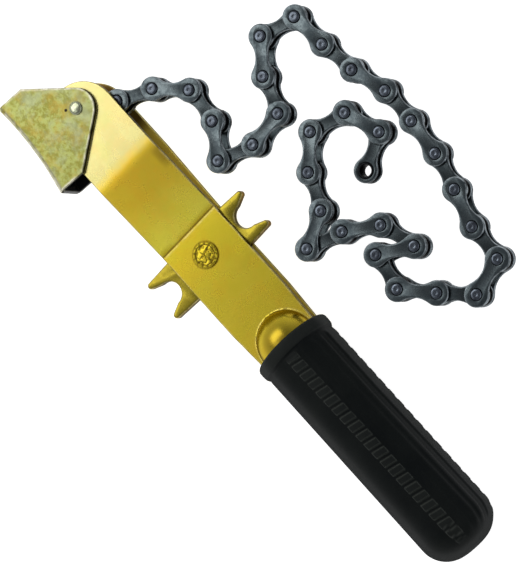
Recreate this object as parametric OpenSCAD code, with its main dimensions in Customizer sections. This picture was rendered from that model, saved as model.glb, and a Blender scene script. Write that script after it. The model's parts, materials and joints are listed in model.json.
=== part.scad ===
// Chain-type oil filter wrench: two riveted steel strips with a fork at the head, a pivoting filter shoe,
// a cross plate with a chain seat at each end, a half-inch roller chain and a ribbed rubber grip.
// Built lying flat: X runs from the shoe to the grip's end, Y to the side where the chain is stored, Z up.
// Working places are measured from the pivot along X, from the handle's centre line along Y and from the
// middle plane of the chain along Z. The model is then stood with its origin at the middle of its base.

/* [Chain] */
// Distance between neighbouring pins
chain_pitch = 12.7; // [12:0.1:14]
// Height of a link plate at its round ends
plate_height = 8; // [7.4:0.1:8.6]
// Height of a link plate at its waist
plate_waist = 4.2; // [3.6:0.1:5]
// Thickness of a link plate
plate_t = 1.1; // [0.9:0.05:1.3]
// Clear width between the plates of an inner link
inner_width = 3.3; // [3.2:0.05:4]
// Diameter of a chain pin and of the pivot rivet's shank
pin_d = 3.6; // [3:0.1:3.8]
// Outer diameter of a roller
roller_d = 7.75; // [7.4:0.05:7.9]
// Outer diameter of a bush
bush_d = 5; // [4.6:0.1:5.4]
// Length that a pin stands out of its plate
pin_stand = 0.4; // [0.2:0.05:0.6]
// Gap between an inner plate and the outer plate over it
side_play = 0.1; // [0.08:0.01:0.2]
// Gap all round between a pin and its bush
pin_play = 0.05; // [0.03:0.01:0.1]

/* [Strips] */
// Width of a strip
strip_w = 24.2; // [23:0.1:28]
// Thickness of a strip
strip_t = 1.5; // [1.2:0.1:2]
// Distance from the pivot to the middle of the rounded head
head_x = 3.5; // [3:0.1:6]
// Offset of the pivot from the centre line of the strips
pivot_y = 1.2; // [0:0.1:1.5]
// Gap between the chain's pins and the strips beside them
fork_play = 0.25; // [0.15:0.05:0.5]
// Distance from the pivot to the bend where the fork starts to close
fork_x = 24; // [22:0.5:28]
// Inner radius of that bend
fork_bend_r = 30; // [10:1:60]
// Distance from the pivot to the crease where the strips run flat again
crease_x = 54.2; // [50:0.2:55]
// Inner radius of the crease
crease_r = 1; // [0.5:0.1:3]
// Distance from the pivot to the start of the taper towards the grip
taper_x = 88; // [80:1:92]
// Width of a strip where it enters the grip
tail_w = 22.4; // [21:0.2:23]
// Distance from the pivot to where the strips have become full half tubes
tube_x = 101.8; // [100:0.2:106]

/* [Horn plate] */
// Distance from the pivot to the middle of the horn plate
horn_x = 63.5; // [63:0.1:66]
// Offset of the horn plate and its rivet from the centre line of the strips
horn_y = -0.7; // [-1:0.1:1]
// Width of the horn plate at the strips
horn_w = 16.2; // [15:0.2:18]
// Length of a horn beyond the edge of the strips
horn_reach = 9.9; // [8.5:0.1:11]
// Play between the horn plate and the inner plates of a link hooked over it
horn_play = 0.3; // [0.2:0.05:0.5]
// Radius of the chain seat between two horns
seat_r = 3.9; // [3.7:0.05:4.2]
// Metal between the chain seat and the edge of the strips
seat_floor = 1.8; // [1.5:0.1:2.5]
// Radius of a horn's round tip
tip_r = 1.15; // [0.9:0.05:1.3]
// Distance between the middles of two neighbouring tips
tip_span = 12.8; // [12.4:0.1:13.4]

/* [Rivets] */
// Diameter of the centre rivet's shank
centre_shank_d = 5; // [4:0.2:6]
// Diameter of the centre rivet's head
centre_head_d = 8.6; // [8:0.2:11]
// Height of the centre rivet's head
centre_head_h = 1; // [0.7:0.1:1.6]
// Diameter of the pivot rivet's head
pivot_head_d = 4.4; // [4.2:0.1:6]
// Height of the pivot rivet's head
pivot_head_h = 0.85; // [0.6:0.05:1.4]
// Gap all round between the pivot rivet and what turns on it
rivet_play = 0.06; // [0.04:0.01:0.1]

/* [Shoe] */
// Length of the curved bearing face
shoe_l = 35; // [30:0.5:40]
// Distance from the pivot to the ends of the bearing face
shoe_drop = 21.8; // [19.5:0.1:24]
// Depth of the hollow in the bearing face
shoe_sagitta = 1.3; // [0.8:0.1:2]
// Height of the shoe's short end edges
shoe_end = 10.4; // [6:0.2:12]
// Radius of the side plates round the pivot
shoe_apex_r = 6.5; // [5:0.1:8]
// Thickness of the shoe's sheet
shoe_t = 1.4; // [1:0.1:2]
// Gap between a strip and the shoe's side plate
shoe_play = 0.2; // [0.15:0.05:0.4]
// Angle of the shoe to the handle in the stored pose
shoe_angle = -5; // [-12:1:8]

/* [Grip] */
// Distance from the pivot to the mouth of the grip
grip_x = 102.6; // [101.8:0.2:106]
// Length of the grip
grip_l = 86; // [75:1:110]
// Diameter of the grip
grip_d = 26; // [25:0.1:28]
// Diameter of the grip near its closed end
grip_end_d = 25.8; // [25.5:0.1:29]
// Diameter of the collar round the mouth
collar_d = 27.7; // [27.4:0.1:31]
// Length of the collar
collar_l = 4.5; // [3.5:0.1:7]
// Radius of the half tubes that the strips form inside the grip
tube_r = 10.4; // [9.5:0.1:10.8]
// Gap all round between the half tubes and the grip
grip_fit = 0.05; // [0.03:0.01:0.1]
// Thickness of the grip's closed end
grip_cap = 6; // [5:0.1:8]
// Radius of the grip's rounded end
grip_round = 9.5; // [2:0.1:11]

/* [Hidden] */
$fn = 64;
ARC = 12;          // steps in a drawn arc
PAST = 1;          // how far a cut runs past the metal
TUBE_GAP = 1.2;    // room between the half tubes' ends and the grip's closed end
TAIL_IN = 3;       // how far the flat of a strip runs into the grip's mouth
RUN_IN = 0.06;     // how far a line or arc that would only touch a round end runs into it
PRESS = 0.01;      // joint line all round a pressed-in pin or bush, which keeps it a piece of its own

// Direction of every link in the stored pose, in whole degrees from X, from the pivot to the open end
HEADINGS = [
    56, 63, 43, -6, -35, 69, 95, 159, 140, 73, 2, 6, 14, -2, -7, -15,
    -18, -5, -75, -136, -139, 169, 58, -165, -125, -109, 115, 155, 133, 73, 17, -65];
LINKS = len(HEADINGS);
PAIRS = LINKS / 2;

// Layers, from the middle plane of the chain outwards
inner_z = inner_width / 2;
outer_z = inner_z + plate_t + side_play;
pin_z = outer_z + plate_t + pin_stand;
fork_z = pin_z + fork_play;
horn_t = inner_width - horn_play;
mid_z = horn_t / 2;
shoe_z = fork_z + strip_t + shoe_play;
rivet_z = shoe_z + shoe_t + rivet_play;

// Round parts of the chain
plate_r = plate_height / 2;
bore_r = pin_d / 2 + pin_play;
anchor_bore_r = pin_d / 2 + rivet_play;
collar_r = collar_d / 2;
seat_y = strip_w / 2 + seat_floor + seat_r;

// Places of the pins: the first is the pivot rivet, the last is the open eye
function dir(a) = [cos(a), sin(a)];
function walk(k) = k == 0 ? [0, pivot_y] : walk(k - 1) + chain_pitch * dir(HEADINGS[k - 1]);
PINS = [for (k = [0 : LINKS]) walk(k)];

// Corners of the shoe's bearing face, turned with it round the pivot
function turn(p, a) = [p.x * cos(a) - p.y * sin(a), p.x * sin(a) + p.y * cos(a)];
shoe_corners = [for (s = [-1, 1]) [0, pivot_y] + turn([s * shoe_l / 2, -shoe_drop], shoe_angle)];

// Middle of the base
x_low = min(concat([for (p = PINS) p.x - plate_r], [for (c = shoe_corners) c.x]));
x_high = max(concat([for (p = PINS) p.x + plate_r], [grip_x + grip_l]));
y_low = min(concat([for (c = shoe_corners) c.y], [horn_y - strip_w / 2 - horn_reach, -collar_r]));
y_high = max(concat([for (p = PINS) p.y + plate_r], [horn_y + strip_w / 2 + horn_reach]));
z_low = -max(collar_r, rivet_z + pivot_head_h);
BASE = [(x_low + x_high) / 2, (y_low + y_high) / 2, z_low];

function two(i) = i < 10 ? str("0", i) : str(i);
function named(name, i) = str(name, "_", two(i));

// ---- Shapes that several pieces share ----

// Moves what is drawn from working places to the model's own frame
module place() translate(-BASE) children();

// The same shape above and below the middle plane
module both_sides() {
    children();
    mirror([0, 0, 1]) children();
}

// A round bar or hole through the middle plane, of half length h
module through(r, h, at = [0, 0]) translate([at.x, at.y, 0]) cylinder(r = r, h = 2 * h, center = true);

// A ring of half length h round the Z axis
module ring(r, bore, h) difference() {
    through(r, h);
    through(bore, h + PAST);
}

// A rivet head: flat below, domed above, of diameter d and height h
module domed_head(d, h) rotate_extrude() polygon(concat(
    [[0, 0], [d / 2, 0]],
    [for (i = [0 : ARC]) [d / 2 * cos(90 * i / ARC), h * (0.35 + 0.65 * sin(90 * i / ARC))]]));

// A bar along X with a hemispherical front end at x = 0, of radius r and straight length l
module bullet(r, l) rotate([0, 90, 0]) rotate_extrude() intersection() {
    union() {
        circle(r = r);
        square([r, l]);
    }
    translate([0, -r]) square([r, r + l]);
}

// ---- Strips ----

strip_plan = [[head_x, strip_w / 2], [taper_x, strip_w / 2], [grip_x + TAIL_IN, tail_w / 2],
              [grip_x + TAIL_IN, -tail_w / 2], [taper_x, -strip_w / 2], [head_x, -strip_w / 2]];

// Slope between the fork's bend and the crease: the common tangent of the two bends
bends = fork_bend_r + crease_r + strip_t;
run = crease_x - fork_x;
fall = fork_z - mid_z - bends;
slope = atan2(fall, run) + atan2(bends, sqrt(run * run + fall * fall - bends * bends));

// Side view of a strip: the inner face from head to tail, then the outer face back again
function fork_arc(r) = [for (i = [0 : ARC]) [fork_x, fork_z - fork_bend_r] + r * dir(90 - slope * i / ARC)];
function crease_arc(r) =
    [for (i = [0 : ARC]) [crease_x, mid_z + strip_t + crease_r] + r * dir(-90 - slope * (1 - i / ARC))];
function reversed(v) = [for (i = [len(v) - 1 : -1 : 0]) v[i]];
function face(lift) = concat(
    [[head_x - strip_w, fork_z + lift]], fork_arc(fork_bend_r + lift),
    crease_arc(crease_r + strip_t - lift), [[grip_x + strip_w, mid_z + lift]]);
strip_side = concat(face(0), reversed(face(strip_t)));

// Both strips are this one, the back one turned over
module strip() difference() {
    union() {
        intersection() {
            linear_extrude(height = 2 * shoe_z) union() {
                translate([head_x, 0]) circle(d = strip_w);
                polygon(strip_plan);
            }
            rotate([90, 0, 0]) linear_extrude(height = strip_w + 2 * PAST, center = true) polygon(strip_side);
        }
        intersection() {
            translate([tube_x, 0, 0]) bullet(tube_r, grip_x + grip_l - grip_cap - TUBE_GAP - tube_x);
            translate([0, -strip_w, mid_z]) cube([grip_x + grip_l, 2 * strip_w, tube_r]);
        }
    }
    translate([tube_x, 0, 0]) bullet(tube_r - strip_t, grip_x + grip_l - tube_x);
    through(pin_d / 2, shoe_z, [0, pivot_y]);
    through(centre_shank_d / 2, shoe_z, [horn_x, horn_y]);
}

module front_strip() color([0.83, 0.74, 0.26]) place() strip();

module back_strip() color([0.78, 0.69, 0.24]) place() mirror([0, 0, 1]) strip();

// ---- Horn plate and rivets ----

// Half of the plate, from the middle to the tips of two horns; the seat between them is cut as a circle
module horn_end() {
    tip_y = strip_w / 2 + horn_reach - tip_r;
    function tip(x) = [for (i = [0 : ARC]) [x, tip_y] + tip_r * dir(180 - 180 * i / ARC)];
    difference() {
        polygon(concat(
            [[-horn_w / 2, 0], [-horn_w / 2, strip_w / 2]], tip(-tip_span / 2),
            [[-seat_r, seat_y], [seat_r, seat_y]], tip(tip_span / 2),
            [[horn_w / 2, strip_w / 2], [horn_w / 2, 0]]));
        translate([0, seat_y]) circle(r = seat_r);
    }
}

module horn_plate() color([0.78, 0.68, 0.25]) place() difference() {
    translate([horn_x, horn_y, 0]) linear_extrude(height = horn_t, center = true) {
        horn_end();
        mirror([0, 1]) horn_end();
    }
    through(centre_shank_d / 2, horn_t, [horn_x, horn_y]);
}

// The head has a plain raised rim round a shallow dome
module rimmed_head(d, h) {
    rim_w = d / 12;
    rotate_extrude() polygon(concat(
        [[0, 0], [d / 2, 0], [d / 2, 0.5 * h], [d / 2 - 0.3 * rim_w, 0.85 * h], [d / 2 - 0.6 * rim_w, 0.85 * h],
         [d / 2 - rim_w, 0.5 * h]],
        [for (i = [0 : ARC]) [(d / 2 - rim_w) * cos(90 * i / ARC), h * (0.5 + 0.5 * sin(90 * i / ARC))]]));
}

module centre_rivet() color([0.72, 0.62, 0.2]) place() translate([horn_x, horn_y, 0]) {
    through(centre_shank_d / 2, mid_z + strip_t);
    both_sides() translate([0, 0, mid_z + strip_t]) rimmed_head(centre_head_d, centre_head_h);
}

module pivot_rivet() color([0.66, 0.66, 0.5]) place() translate([0, pivot_y, 0]) {
    through(pin_d / 2, rivet_z);
    both_sides() translate([0, 0, rivet_z]) domed_head(pivot_head_d, pivot_head_h);
}

// Spacers between the chain's first link and the two strips
module pivot_washers() {
    low = outer_z + plate_t + side_play / 2;
    color([0.3, 0.3, 0.32]) place() both_sides() translate([0, pivot_y, low]) difference() {
        cylinder(r = plate_r, h = fork_z - low);
        through(pin_d / 2, fork_z);
    }
}

// The bush and roller that fill the first link round the pivot rivet
module anchor_bush() color([0.35, 0.36, 0.38]) place() translate([0, pivot_y, 0])
    ring(bush_d / 2, pin_d / 2, outer_z - side_play / 2);

module anchor_roller() color([0.24, 0.25, 0.28]) place() translate([0, pivot_y, 0])
    ring(roller_d / 2, bush_d / 2 + pin_play, outer_z - side_play / 2);

// ---- Shoe ----

web_r = (shoe_l * shoe_l / 4 + shoe_sagitta * shoe_sagitta) / (2 * shoe_sagitta);
web_centre = [0, shoe_sagitta - shoe_drop - web_r];
shoe_shoulder = [shoe_l / 2, shoe_end - shoe_drop];

// Where the line from a shoulder comes nearest to the pivot, just inside the round end of the side plate
apex_reach = shoe_apex_r - RUN_IN;
apex_point = apex_reach * dir(atan2(shoe_shoulder.y, shoe_shoulder.x) + acos(apex_reach / norm(shoe_shoulder)));

module shoe_side() difference() {
    union() {
        circle(r = shoe_apex_r);
        polygon([apex_point, shoe_shoulder, [shoe_l / 2, -shoe_drop], [-shoe_l / 2, -shoe_drop],
                 [-shoe_shoulder.x, shoe_shoulder.y], [-apex_point.x, apex_point.y]]);
    }
    translate(web_centre) circle(r = web_r, $fn = 360);
}

module shoe_web() intersection() {
    difference() {
        translate(web_centre) circle(r = web_r + shoe_t, $fn = 360);
        translate(web_centre) circle(r = web_r, $fn = 360);
    }
    translate([-shoe_l / 2, -shoe_drop]) square([shoe_l, shoe_drop]);
}

module shoe() color([0.66, 0.68, 0.45]) place() translate([0, pivot_y, 0]) rotate(shoe_angle) {
    difference() {
        union() {
            both_sides() translate([0, 0, shoe_z]) linear_extrude(height = shoe_t) shoe_side();
            linear_extrude(height = 2 * (shoe_z + shoe_t), center = true) shoe_web();
        }
        through(anchor_bore_r, rivet_z);
    }
}

// ---- Chain ----

// Outline of a link plate: two round ends and a waist drawn in by two arcs, which just run into the ends
module plate_outline() {
    lean = plate_r - plate_waist / 2;
    arc_y = (chain_pitch * chain_pitch / 4 - lean * lean) / (2 * lean);
    waist_r = arc_y - plate_waist / 2;
    touch = waist_r / (waist_r + plate_r);
    for (s = [-1, 1]) translate([s * chain_pitch / 2, 0]) circle(r = plate_r);
    difference() {
        square([chain_pitch * touch, 2 * arc_y * (1 - touch)], center = true);
        for (s = [-1, 1]) translate([0, s * arc_y]) circle(r = waist_r + RUN_IN, $fn = 128);
    }
}

// A plate lying on height z, with a hole at either end
module plate(z, hole_a, hole_b) translate([0, 0, z]) difference() {
    linear_extrude(height = plate_t) plate_outline();
    translate([-chain_pitch / 2, 0, 0]) cylinder(r = hole_a, h = 3 * plate_t, center = true);
    translate([chain_pitch / 2, 0, 0]) cylinder(r = hole_b, h = 3 * plate_t, center = true);
}

// Puts a link between pins k and k + 1
module at_link(k) {
    middle = (PINS[k] + PINS[k + 1]) / 2;
    place() translate([middle.x, middle.y, 0]) rotate(HEADINGS[k]) children();
}

// A riveted pin with a bevelled end
module pin() rotate_extrude() polygon([
    [0, -pin_z], [pin_d / 2 - pin_stand, -pin_z], [pin_d / 2, pin_stand - pin_z],
    [pin_d / 2, pin_z - pin_stand], [pin_d / 2 - pin_stand, pin_z], [0, pin_z]]);

// Two outer plates on two pins; the first link turns on the pivot rivet in place of one pin
module outer_link(i) color([0.17, 0.18, 0.2]) at_link(2 * i - 2) {
    both_sides() plate(outer_z, i == 1 ? anchor_bore_r : pin_d / 2 + PRESS, pin_d / 2 + PRESS);
    for (s = i == 1 ? [1] : [-1, 1]) translate([s * chain_pitch / 2, 0, 0]) pin();
}

// Two inner plates on two bushes
module inner_link(i) color([0.2, 0.21, 0.23]) at_link(2 * i - 1) {
    both_sides() plate(inner_z, bush_d / 2 + PRESS, bush_d / 2 + PRESS);
    for (s = [-1, 1]) translate([s * chain_pitch / 2, 0, 0])
        ring(bush_d / 2, bore_r, outer_z - side_play / 2);
}

// The two rollers on an inner link's bushes
module rollers(i) color([0.3, 0.31, 0.33]) at_link(2 * i - 1)
    for (s = [-1, 1]) translate([s * chain_pitch / 2, 0, 0])
        ring(roller_d / 2, bush_d / 2 + pin_play, inner_z - side_play / 2);

// ---- Grip ----

function quarter(c, r, a) = [for (i = [0 : ARC / 2]) c + r * dir(a + 90 * i / (ARC / 2))];

// Half section of the grip, drawn as [distance from the mouth, radius]
module grip_section() {
    step = collar_r - grip_d / 2;
    mouth_r = tail_w / 2 + 2 * strip_t / 3;
    bore = tube_r + grip_fit;
    points = concat(
        [[0, mouth_r]],
        reversed(quarter([step, collar_r - step], step, 90)),
        reversed(quarter([collar_l - step, collar_r - step], step, 0)),
        [[grip_l - 2 * grip_round, grip_end_d / 2]],
        reversed(quarter([grip_l - grip_round, grip_end_d / 2 - grip_round], grip_round, 0)),
        [[grip_l, 0], [grip_l - grip_cap, 0], [grip_l - grip_cap, bore], [TAIL_IN + grip_fit, bore],
         [TAIL_IN + grip_fit, mouth_r]]);
    polygon([for (p = points) [p.y, p.x]]);
}

module grip() color([0.07, 0.07, 0.075]) place() translate([grip_x, 0, 0])
    rotate([0, 90, 0]) rotate_extrude() grip_section();

front_strip();
back_strip();
horn_plate();
centre_rivet();
shoe();
pivot_rivet();
pivot_washers();
anchor_bush();
anchor_roller();
grip();
for (i = [1 : PAIRS]) {
    outer_link(i);
    inner_link(i);
    rollers(i);
}
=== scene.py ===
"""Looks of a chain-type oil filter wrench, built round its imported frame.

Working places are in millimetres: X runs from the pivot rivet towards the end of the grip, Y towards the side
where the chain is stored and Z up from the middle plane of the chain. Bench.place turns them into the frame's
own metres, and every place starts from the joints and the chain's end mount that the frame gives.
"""

import json
import logging
import math
from dataclasses import dataclass, field, replace
from enum import Enum

import bpy
import numpy as np
from mathutils import Matrix, Vector
from mathutils.geometry import tessellate_polygon

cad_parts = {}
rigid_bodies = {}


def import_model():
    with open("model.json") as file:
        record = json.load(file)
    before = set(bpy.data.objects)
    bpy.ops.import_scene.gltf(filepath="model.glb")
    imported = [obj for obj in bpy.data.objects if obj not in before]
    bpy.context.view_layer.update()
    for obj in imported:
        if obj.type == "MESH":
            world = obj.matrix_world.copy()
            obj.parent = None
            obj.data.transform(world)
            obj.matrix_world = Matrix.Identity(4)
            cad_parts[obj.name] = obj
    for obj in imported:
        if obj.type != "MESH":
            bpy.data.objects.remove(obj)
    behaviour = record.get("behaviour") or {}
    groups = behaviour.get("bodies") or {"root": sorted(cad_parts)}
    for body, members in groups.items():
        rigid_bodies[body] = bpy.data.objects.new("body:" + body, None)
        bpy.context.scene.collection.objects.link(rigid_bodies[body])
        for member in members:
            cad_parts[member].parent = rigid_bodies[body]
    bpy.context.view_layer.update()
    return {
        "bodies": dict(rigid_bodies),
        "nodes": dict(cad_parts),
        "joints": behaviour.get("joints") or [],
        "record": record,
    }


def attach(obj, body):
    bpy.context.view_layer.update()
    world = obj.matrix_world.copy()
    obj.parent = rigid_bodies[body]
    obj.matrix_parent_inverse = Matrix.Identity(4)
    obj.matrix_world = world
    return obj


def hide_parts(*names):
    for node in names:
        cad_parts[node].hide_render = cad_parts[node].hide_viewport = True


log = logging.getLogger("wrench")
MM = 0.001
QUARTER = math.pi / 2
# Faces round a small bore or rod, and faces across a rim.
AROUND = 32
RIM_STEPS = 2
# Names of the masks that the meshes carry, and their columns in a shape: edge wear with painted highlight, cut
# walls painted in shade, inner faces, and darkening that is nearly all painted shade.
MASKS = ("edge", "shaded_wall", "inside", "darkening")
WEAR_AND_HIGHLIGHT, SHADED_WALL, INSIDE, DARKENING = range(len(MASKS))
Colour = tuple[float, float, float]
Place = tuple[float, float, float]


# ---- Shapes worked out on grids ----


@dataclass
class Shape:
    """One closed surface, or several: its points in millimetres, its faces and its masks.

    The masks are a column each: edges with wear and painted highlight, cut walls painted in shade, inner faces,
    and darkening, nearly all of it painted shade in creases, recesses and under parts.
    """

    points: np.ndarray
    quads: np.ndarray
    fans: np.ndarray = field(default_factory=lambda: np.zeros((0, 3), int))
    caps: np.ndarray = field(default_factory=lambda: np.zeros((0, 3), int))
    masks: np.ndarray | None = None

    def __post_init__(self) -> None:
        """Gives a shape without masks empty ones."""
        if self.masks is None:
            self.masks = np.zeros((len(self.points), len(MASKS)))

    def moved(self, turn: np.ndarray, shift: Place) -> "Shape":
        """The same shape after a rotation or mirror and then a shift.

        Args:
            turn: 3 by 3 matrix, applied first; a mirror also turns the faces round.
            shift: how far the shape then moves.

        Returns:
            A new shape.
        """
        points = self.points @ turn.T + np.array(shift)
        if np.linalg.det(turn) > 0:
            return Shape(points, self.quads, self.fans, self.caps, self.masks)
        return Shape(points, self.quads[:, ::-1], self.fans[:, ::-1], self.caps[:, ::-1], self.masks)

    def at(self, x: float, y: float, z: float = 0.0) -> "Shape":
        """The same shape after a shift."""
        return self.moved(np.eye(3), (x, y, z))

    def flipped(self) -> "Shape":
        """The shape's mirror image below the middle plane."""
        return self.moved(np.diag([1.0, 1.0, -1.0]), (0, 0, 0))


def joined(shapes: list[Shape]) -> Shape:
    """One shape that holds several, each still a surface of its own.

    Args:
        shapes: the shapes to hold.

    Returns:
        A new shape, with the points in the shapes' order.
    """
    starts = np.cumsum([0] + [len(s.points) for s in shapes])
    quads, fans, caps = (np.vstack([getattr(s, part) + at for s, at in zip(shapes, starts)])
                         for part in ("quads", "fans", "caps"))
    points, masks = (np.vstack([getattr(s, part) for s in shapes]) for part in ("points", "masks"))
    return Shape(points, quads, fans, caps, masks)


def net(rows: int, cols: int, wrap_rows: bool = False, wrap_cols: bool = False) -> np.ndarray:
    """Corners of a grid's quads, where row r and column c is point r * cols + c.

    Args:
        rows: number of rows of points.
        cols: number of columns of points.
        wrap_rows: whether the last row joins the first.
        wrap_cols: whether the last column joins the first.

    Returns:
        An array of four corners a quad.
    """
    r = np.arange(rows if wrap_rows else rows - 1)[:, None]
    c = np.arange(cols if wrap_cols else cols - 1)[None, :]
    below, after = (r + 1) % rows, (c + 1) % cols
    corners = [r * cols + c, r * cols + after, below * cols + after, below * cols + c]
    return np.stack([k + 0 * r + 0 * c for k in corners], axis=-1).reshape(-1, 4)


def revolve(profile: np.ndarray, around: int | np.ndarray, wave: np.ndarray | None = None,
            darkening: np.ndarray | float = 0) -> Shape:
    """A profile carried round Z: a point (r, h) goes to (r cos a, r sin a, h) for every angle a.

    Args:
        profile: pairs (radius, height), upwards along the outside; radius 0 at an end closes it with a pole,
            and a profile that comes back to its start is a ring.
        around: number of even angles, or the angles themselves, rising through one turn.
        wave: height added to each point, by profile point and angle.
        darkening: painted shade at each point, by profile point and angle.

    Returns:
        A closed shape.
    """
    angle = 2 * math.pi * np.arange(around) / around if isinstance(around, int) else around
    steps = len(angle)
    dark_share = np.broadcast_to(darkening, (len(profile), steps))
    ring = np.allclose(profile[0], profile[-1])
    body = profile[:-1] if ring else profile[1:-1]
    lift = 0 if wave is None else (wave[:-1] if ring else wave[1:-1])
    heights = body[:, 1][:, None] + 0 * angle + lift
    grid = np.stack([body[:, :1] * np.cos(angle), body[:, :1] * np.sin(angle), heights], axis=-1)
    quads = net(len(body), steps, wrap_rows=ring, wrap_cols=True)
    points = grid.reshape(-1, 3)
    masks = np.zeros((len(points) + (0 if ring else 2), len(MASKS)))
    masks[:len(points), DARKENING] = (dark_share[:-1] if ring else dark_share[1:-1]).ravel()
    if ring:
        return Shape(points, quads, masks=masks)
    masks[len(points):, DARKENING] = dark_share[0, 0], dark_share[-1, 0]
    low, high = len(points), len(points) + 1
    here, after = np.arange(steps), (np.arange(steps) + 1) % steps
    last = (len(body) - 1) * steps
    fans = np.vstack([
        np.stack([low + 0 * here, after, here], axis=-1),
        np.stack([high + 0 * here, last + here, last + after], axis=-1),
    ])
    tips = (0, 0) if wave is None else (wave[0, 0], wave[-1, 0])
    poles = [[0, 0, profile[0, 1] + tips[0]], [0, 0, profile[-1, 1] + tips[1]]]
    return Shape(np.vstack([points, poles]), quads, fans, masks=masks)


def rounded(corners: list[tuple[float, float, float]], steps: int) -> np.ndarray:
    """A line of straight stretches, with a quadratic curve tangent to both at each round corner.

    Args:
        corners: triples (x, y, reach), where reach is how far from the corner its round starts.
        steps: pieces in each round.

    Returns:
        The line's points.
    """
    at = np.array([c[:2] for c in corners], float)
    line = []
    t = np.linspace(0, 1, steps + 1)[:, None]
    for i, (_, _, reach) in enumerate(corners):
        if reach == 0 or i in (0, len(corners) - 1):
            line.append(at[i:i + 1])
            continue
        back = (at[i - 1] - at[i]) / np.linalg.norm(at[i - 1] - at[i])
        ahead = (at[i + 1] - at[i]) / np.linalg.norm(at[i + 1] - at[i])
        start, end = at[i] + reach * back, at[i] + reach * ahead
        line.append((1 - t) ** 2 * start + 2 * t * (1 - t) * at[i] + t ** 2 * end)
    return np.vstack(line)


def arc(centre: tuple[float, float], radius: float, start: float, end: float, steps: int) -> np.ndarray:
    """Points on a circle from one angle to another, in degrees."""
    angle = np.radians(np.linspace(start, end, steps + 1))
    return np.stack([centre[0] + radius * np.cos(angle), centre[1] + radius * np.sin(angle)], axis=-1)


def hole(centre: tuple[float, float], radius: float) -> np.ndarray:
    """A round hole's loop, clockwise."""
    return arc(centre, radius, 360, 360 / AROUND, AROUND - 1)


def side_normals(loop: np.ndarray) -> np.ndarray:
    """Unit vectors away from the metal, square to the line between a point's two neighbours.

    Args:
        loop: points of a closed loop that has the metal on its left.

    Returns:
        A unit vector for each point.
    """
    along = np.roll(loop, -1, axis=0) - np.roll(loop, 1, axis=0)
    across = np.stack([along[:, 1], -along[:, 0]], axis=-1)
    return across / np.linalg.norm(across, axis=1, keepdims=True)


def cap(loops: list[np.ndarray], upwards: bool) -> np.ndarray:
    """Triangles that fill the space between an outline and its holes.

    Args:
        loops: the outline and then its holes.
        upwards: whether the triangles face +Z.

    Returns:
        An array of three corners a triangle.
    """
    flat = np.vstack(loops)
    faces = np.array(tessellate_polygon([[Vector((x, y, 0)) for x, y in loop] for loop in loops]))
    a, b, c = (flat[faces[:, k]] for k in range(3))
    area = (b[:, 0] - a[:, 0]) * (c[:, 1] - a[:, 1]) - (b[:, 1] - a[:, 1]) * (c[:, 0] - a[:, 0])
    turned = np.where(((area > 0) == upwards)[:, None], faces, faces[:, ::-1])
    return turned[np.abs(area) > 1e-12]


def rim_masks(turn: np.ndarray, copies: int, rub_and_highlight: bool = True) -> np.ndarray:
    """Masks of a rounded rim: wear and painted highlight half way round its curve, and a cut side at its end,
    painted in shade.

    Args:
        turn: angle of each row of the rim, from 0 at the face to a quarter turn at the wall.
        copies: number of points in a row.
        rub_and_highlight: whether the curve carries wear and painted highlight.

    Returns:
        One row of masks a point, row by row.
    """
    masks = np.zeros((len(turn), len(MASKS)))
    masks[:, WEAR_AND_HIGHLIGHT] = np.sin(2 * turn) * rub_and_highlight
    masks[:, SHADED_WALL] = np.sin(turn) ** 2
    return np.repeat(masks, copies, axis=0)


def plate(loops: list[np.ndarray], low: float, high: float, bevel: float, steps: int = RIM_STEPS) -> Shape:
    """A flat plate with rounded rims: a quarter circle carried along every loop, at the top and at the bottom.

    Args:
        loops: the outline anticlockwise, then the holes clockwise, as arrays of (x, y).
        low: height of the lower face.
        high: height of the upper face.
        bevel: radius of the rims.
        steps: faces across a rim.

    Returns:
        A closed shape.
    """
    turn = np.linspace(0, QUARTER, steps + 1)
    inset = bevel * (1 - np.sin(turn))
    drop = bevel * (1 - np.cos(turn))
    insets = np.concatenate([inset, inset[::-1]])
    heights = np.concatenate([high - drop, (low + drop)[::-1]])
    around = np.concatenate([turn, turn[::-1]])
    points, quads, masks, tops, bottoms, start = [], [], [], [], [], 0
    for loop in loops:
        flat = loop[None] - insets[:, None, None] * side_normals(loop)[None]
        ring = np.concatenate([flat, np.broadcast_to(heights[:, None, None], flat.shape[:2] + (1,))], axis=-1)
        points.append(ring.reshape(-1, 3))
        quads.append(net(len(insets), len(loop), wrap_cols=True)[:, ::-1] + start)
        masks.append(rim_masks(around, len(loop), rub_and_highlight=start == 0))
        tops.append((flat[0], start))
        bottoms.append((flat[-1], start + (len(insets) - 1) * len(loop)))
        start += ring.shape[0] * ring.shape[1]
    caps = [fill(side, up) for side, up in ((tops, True), (bottoms, False))]
    return Shape(np.vstack(points), np.vstack(quads), caps=np.vstack(caps), masks=np.vstack(masks))


def fill(side: list[tuple[np.ndarray, int]], upwards: bool) -> np.ndarray:
    """One face of a plate: triangles between loops whose points start at different places in the shape.

    Args:
        side: pairs of a loop and the number of its first point.
        upwards: whether the triangles face +Z.

    Returns:
        An array of three corners a triangle.
    """
    loops = [loop for loop, _ in side]
    where = np.concatenate([start + np.arange(len(loop)) for loop, start in side])
    return where[cap(loops, upwards)]


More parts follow.
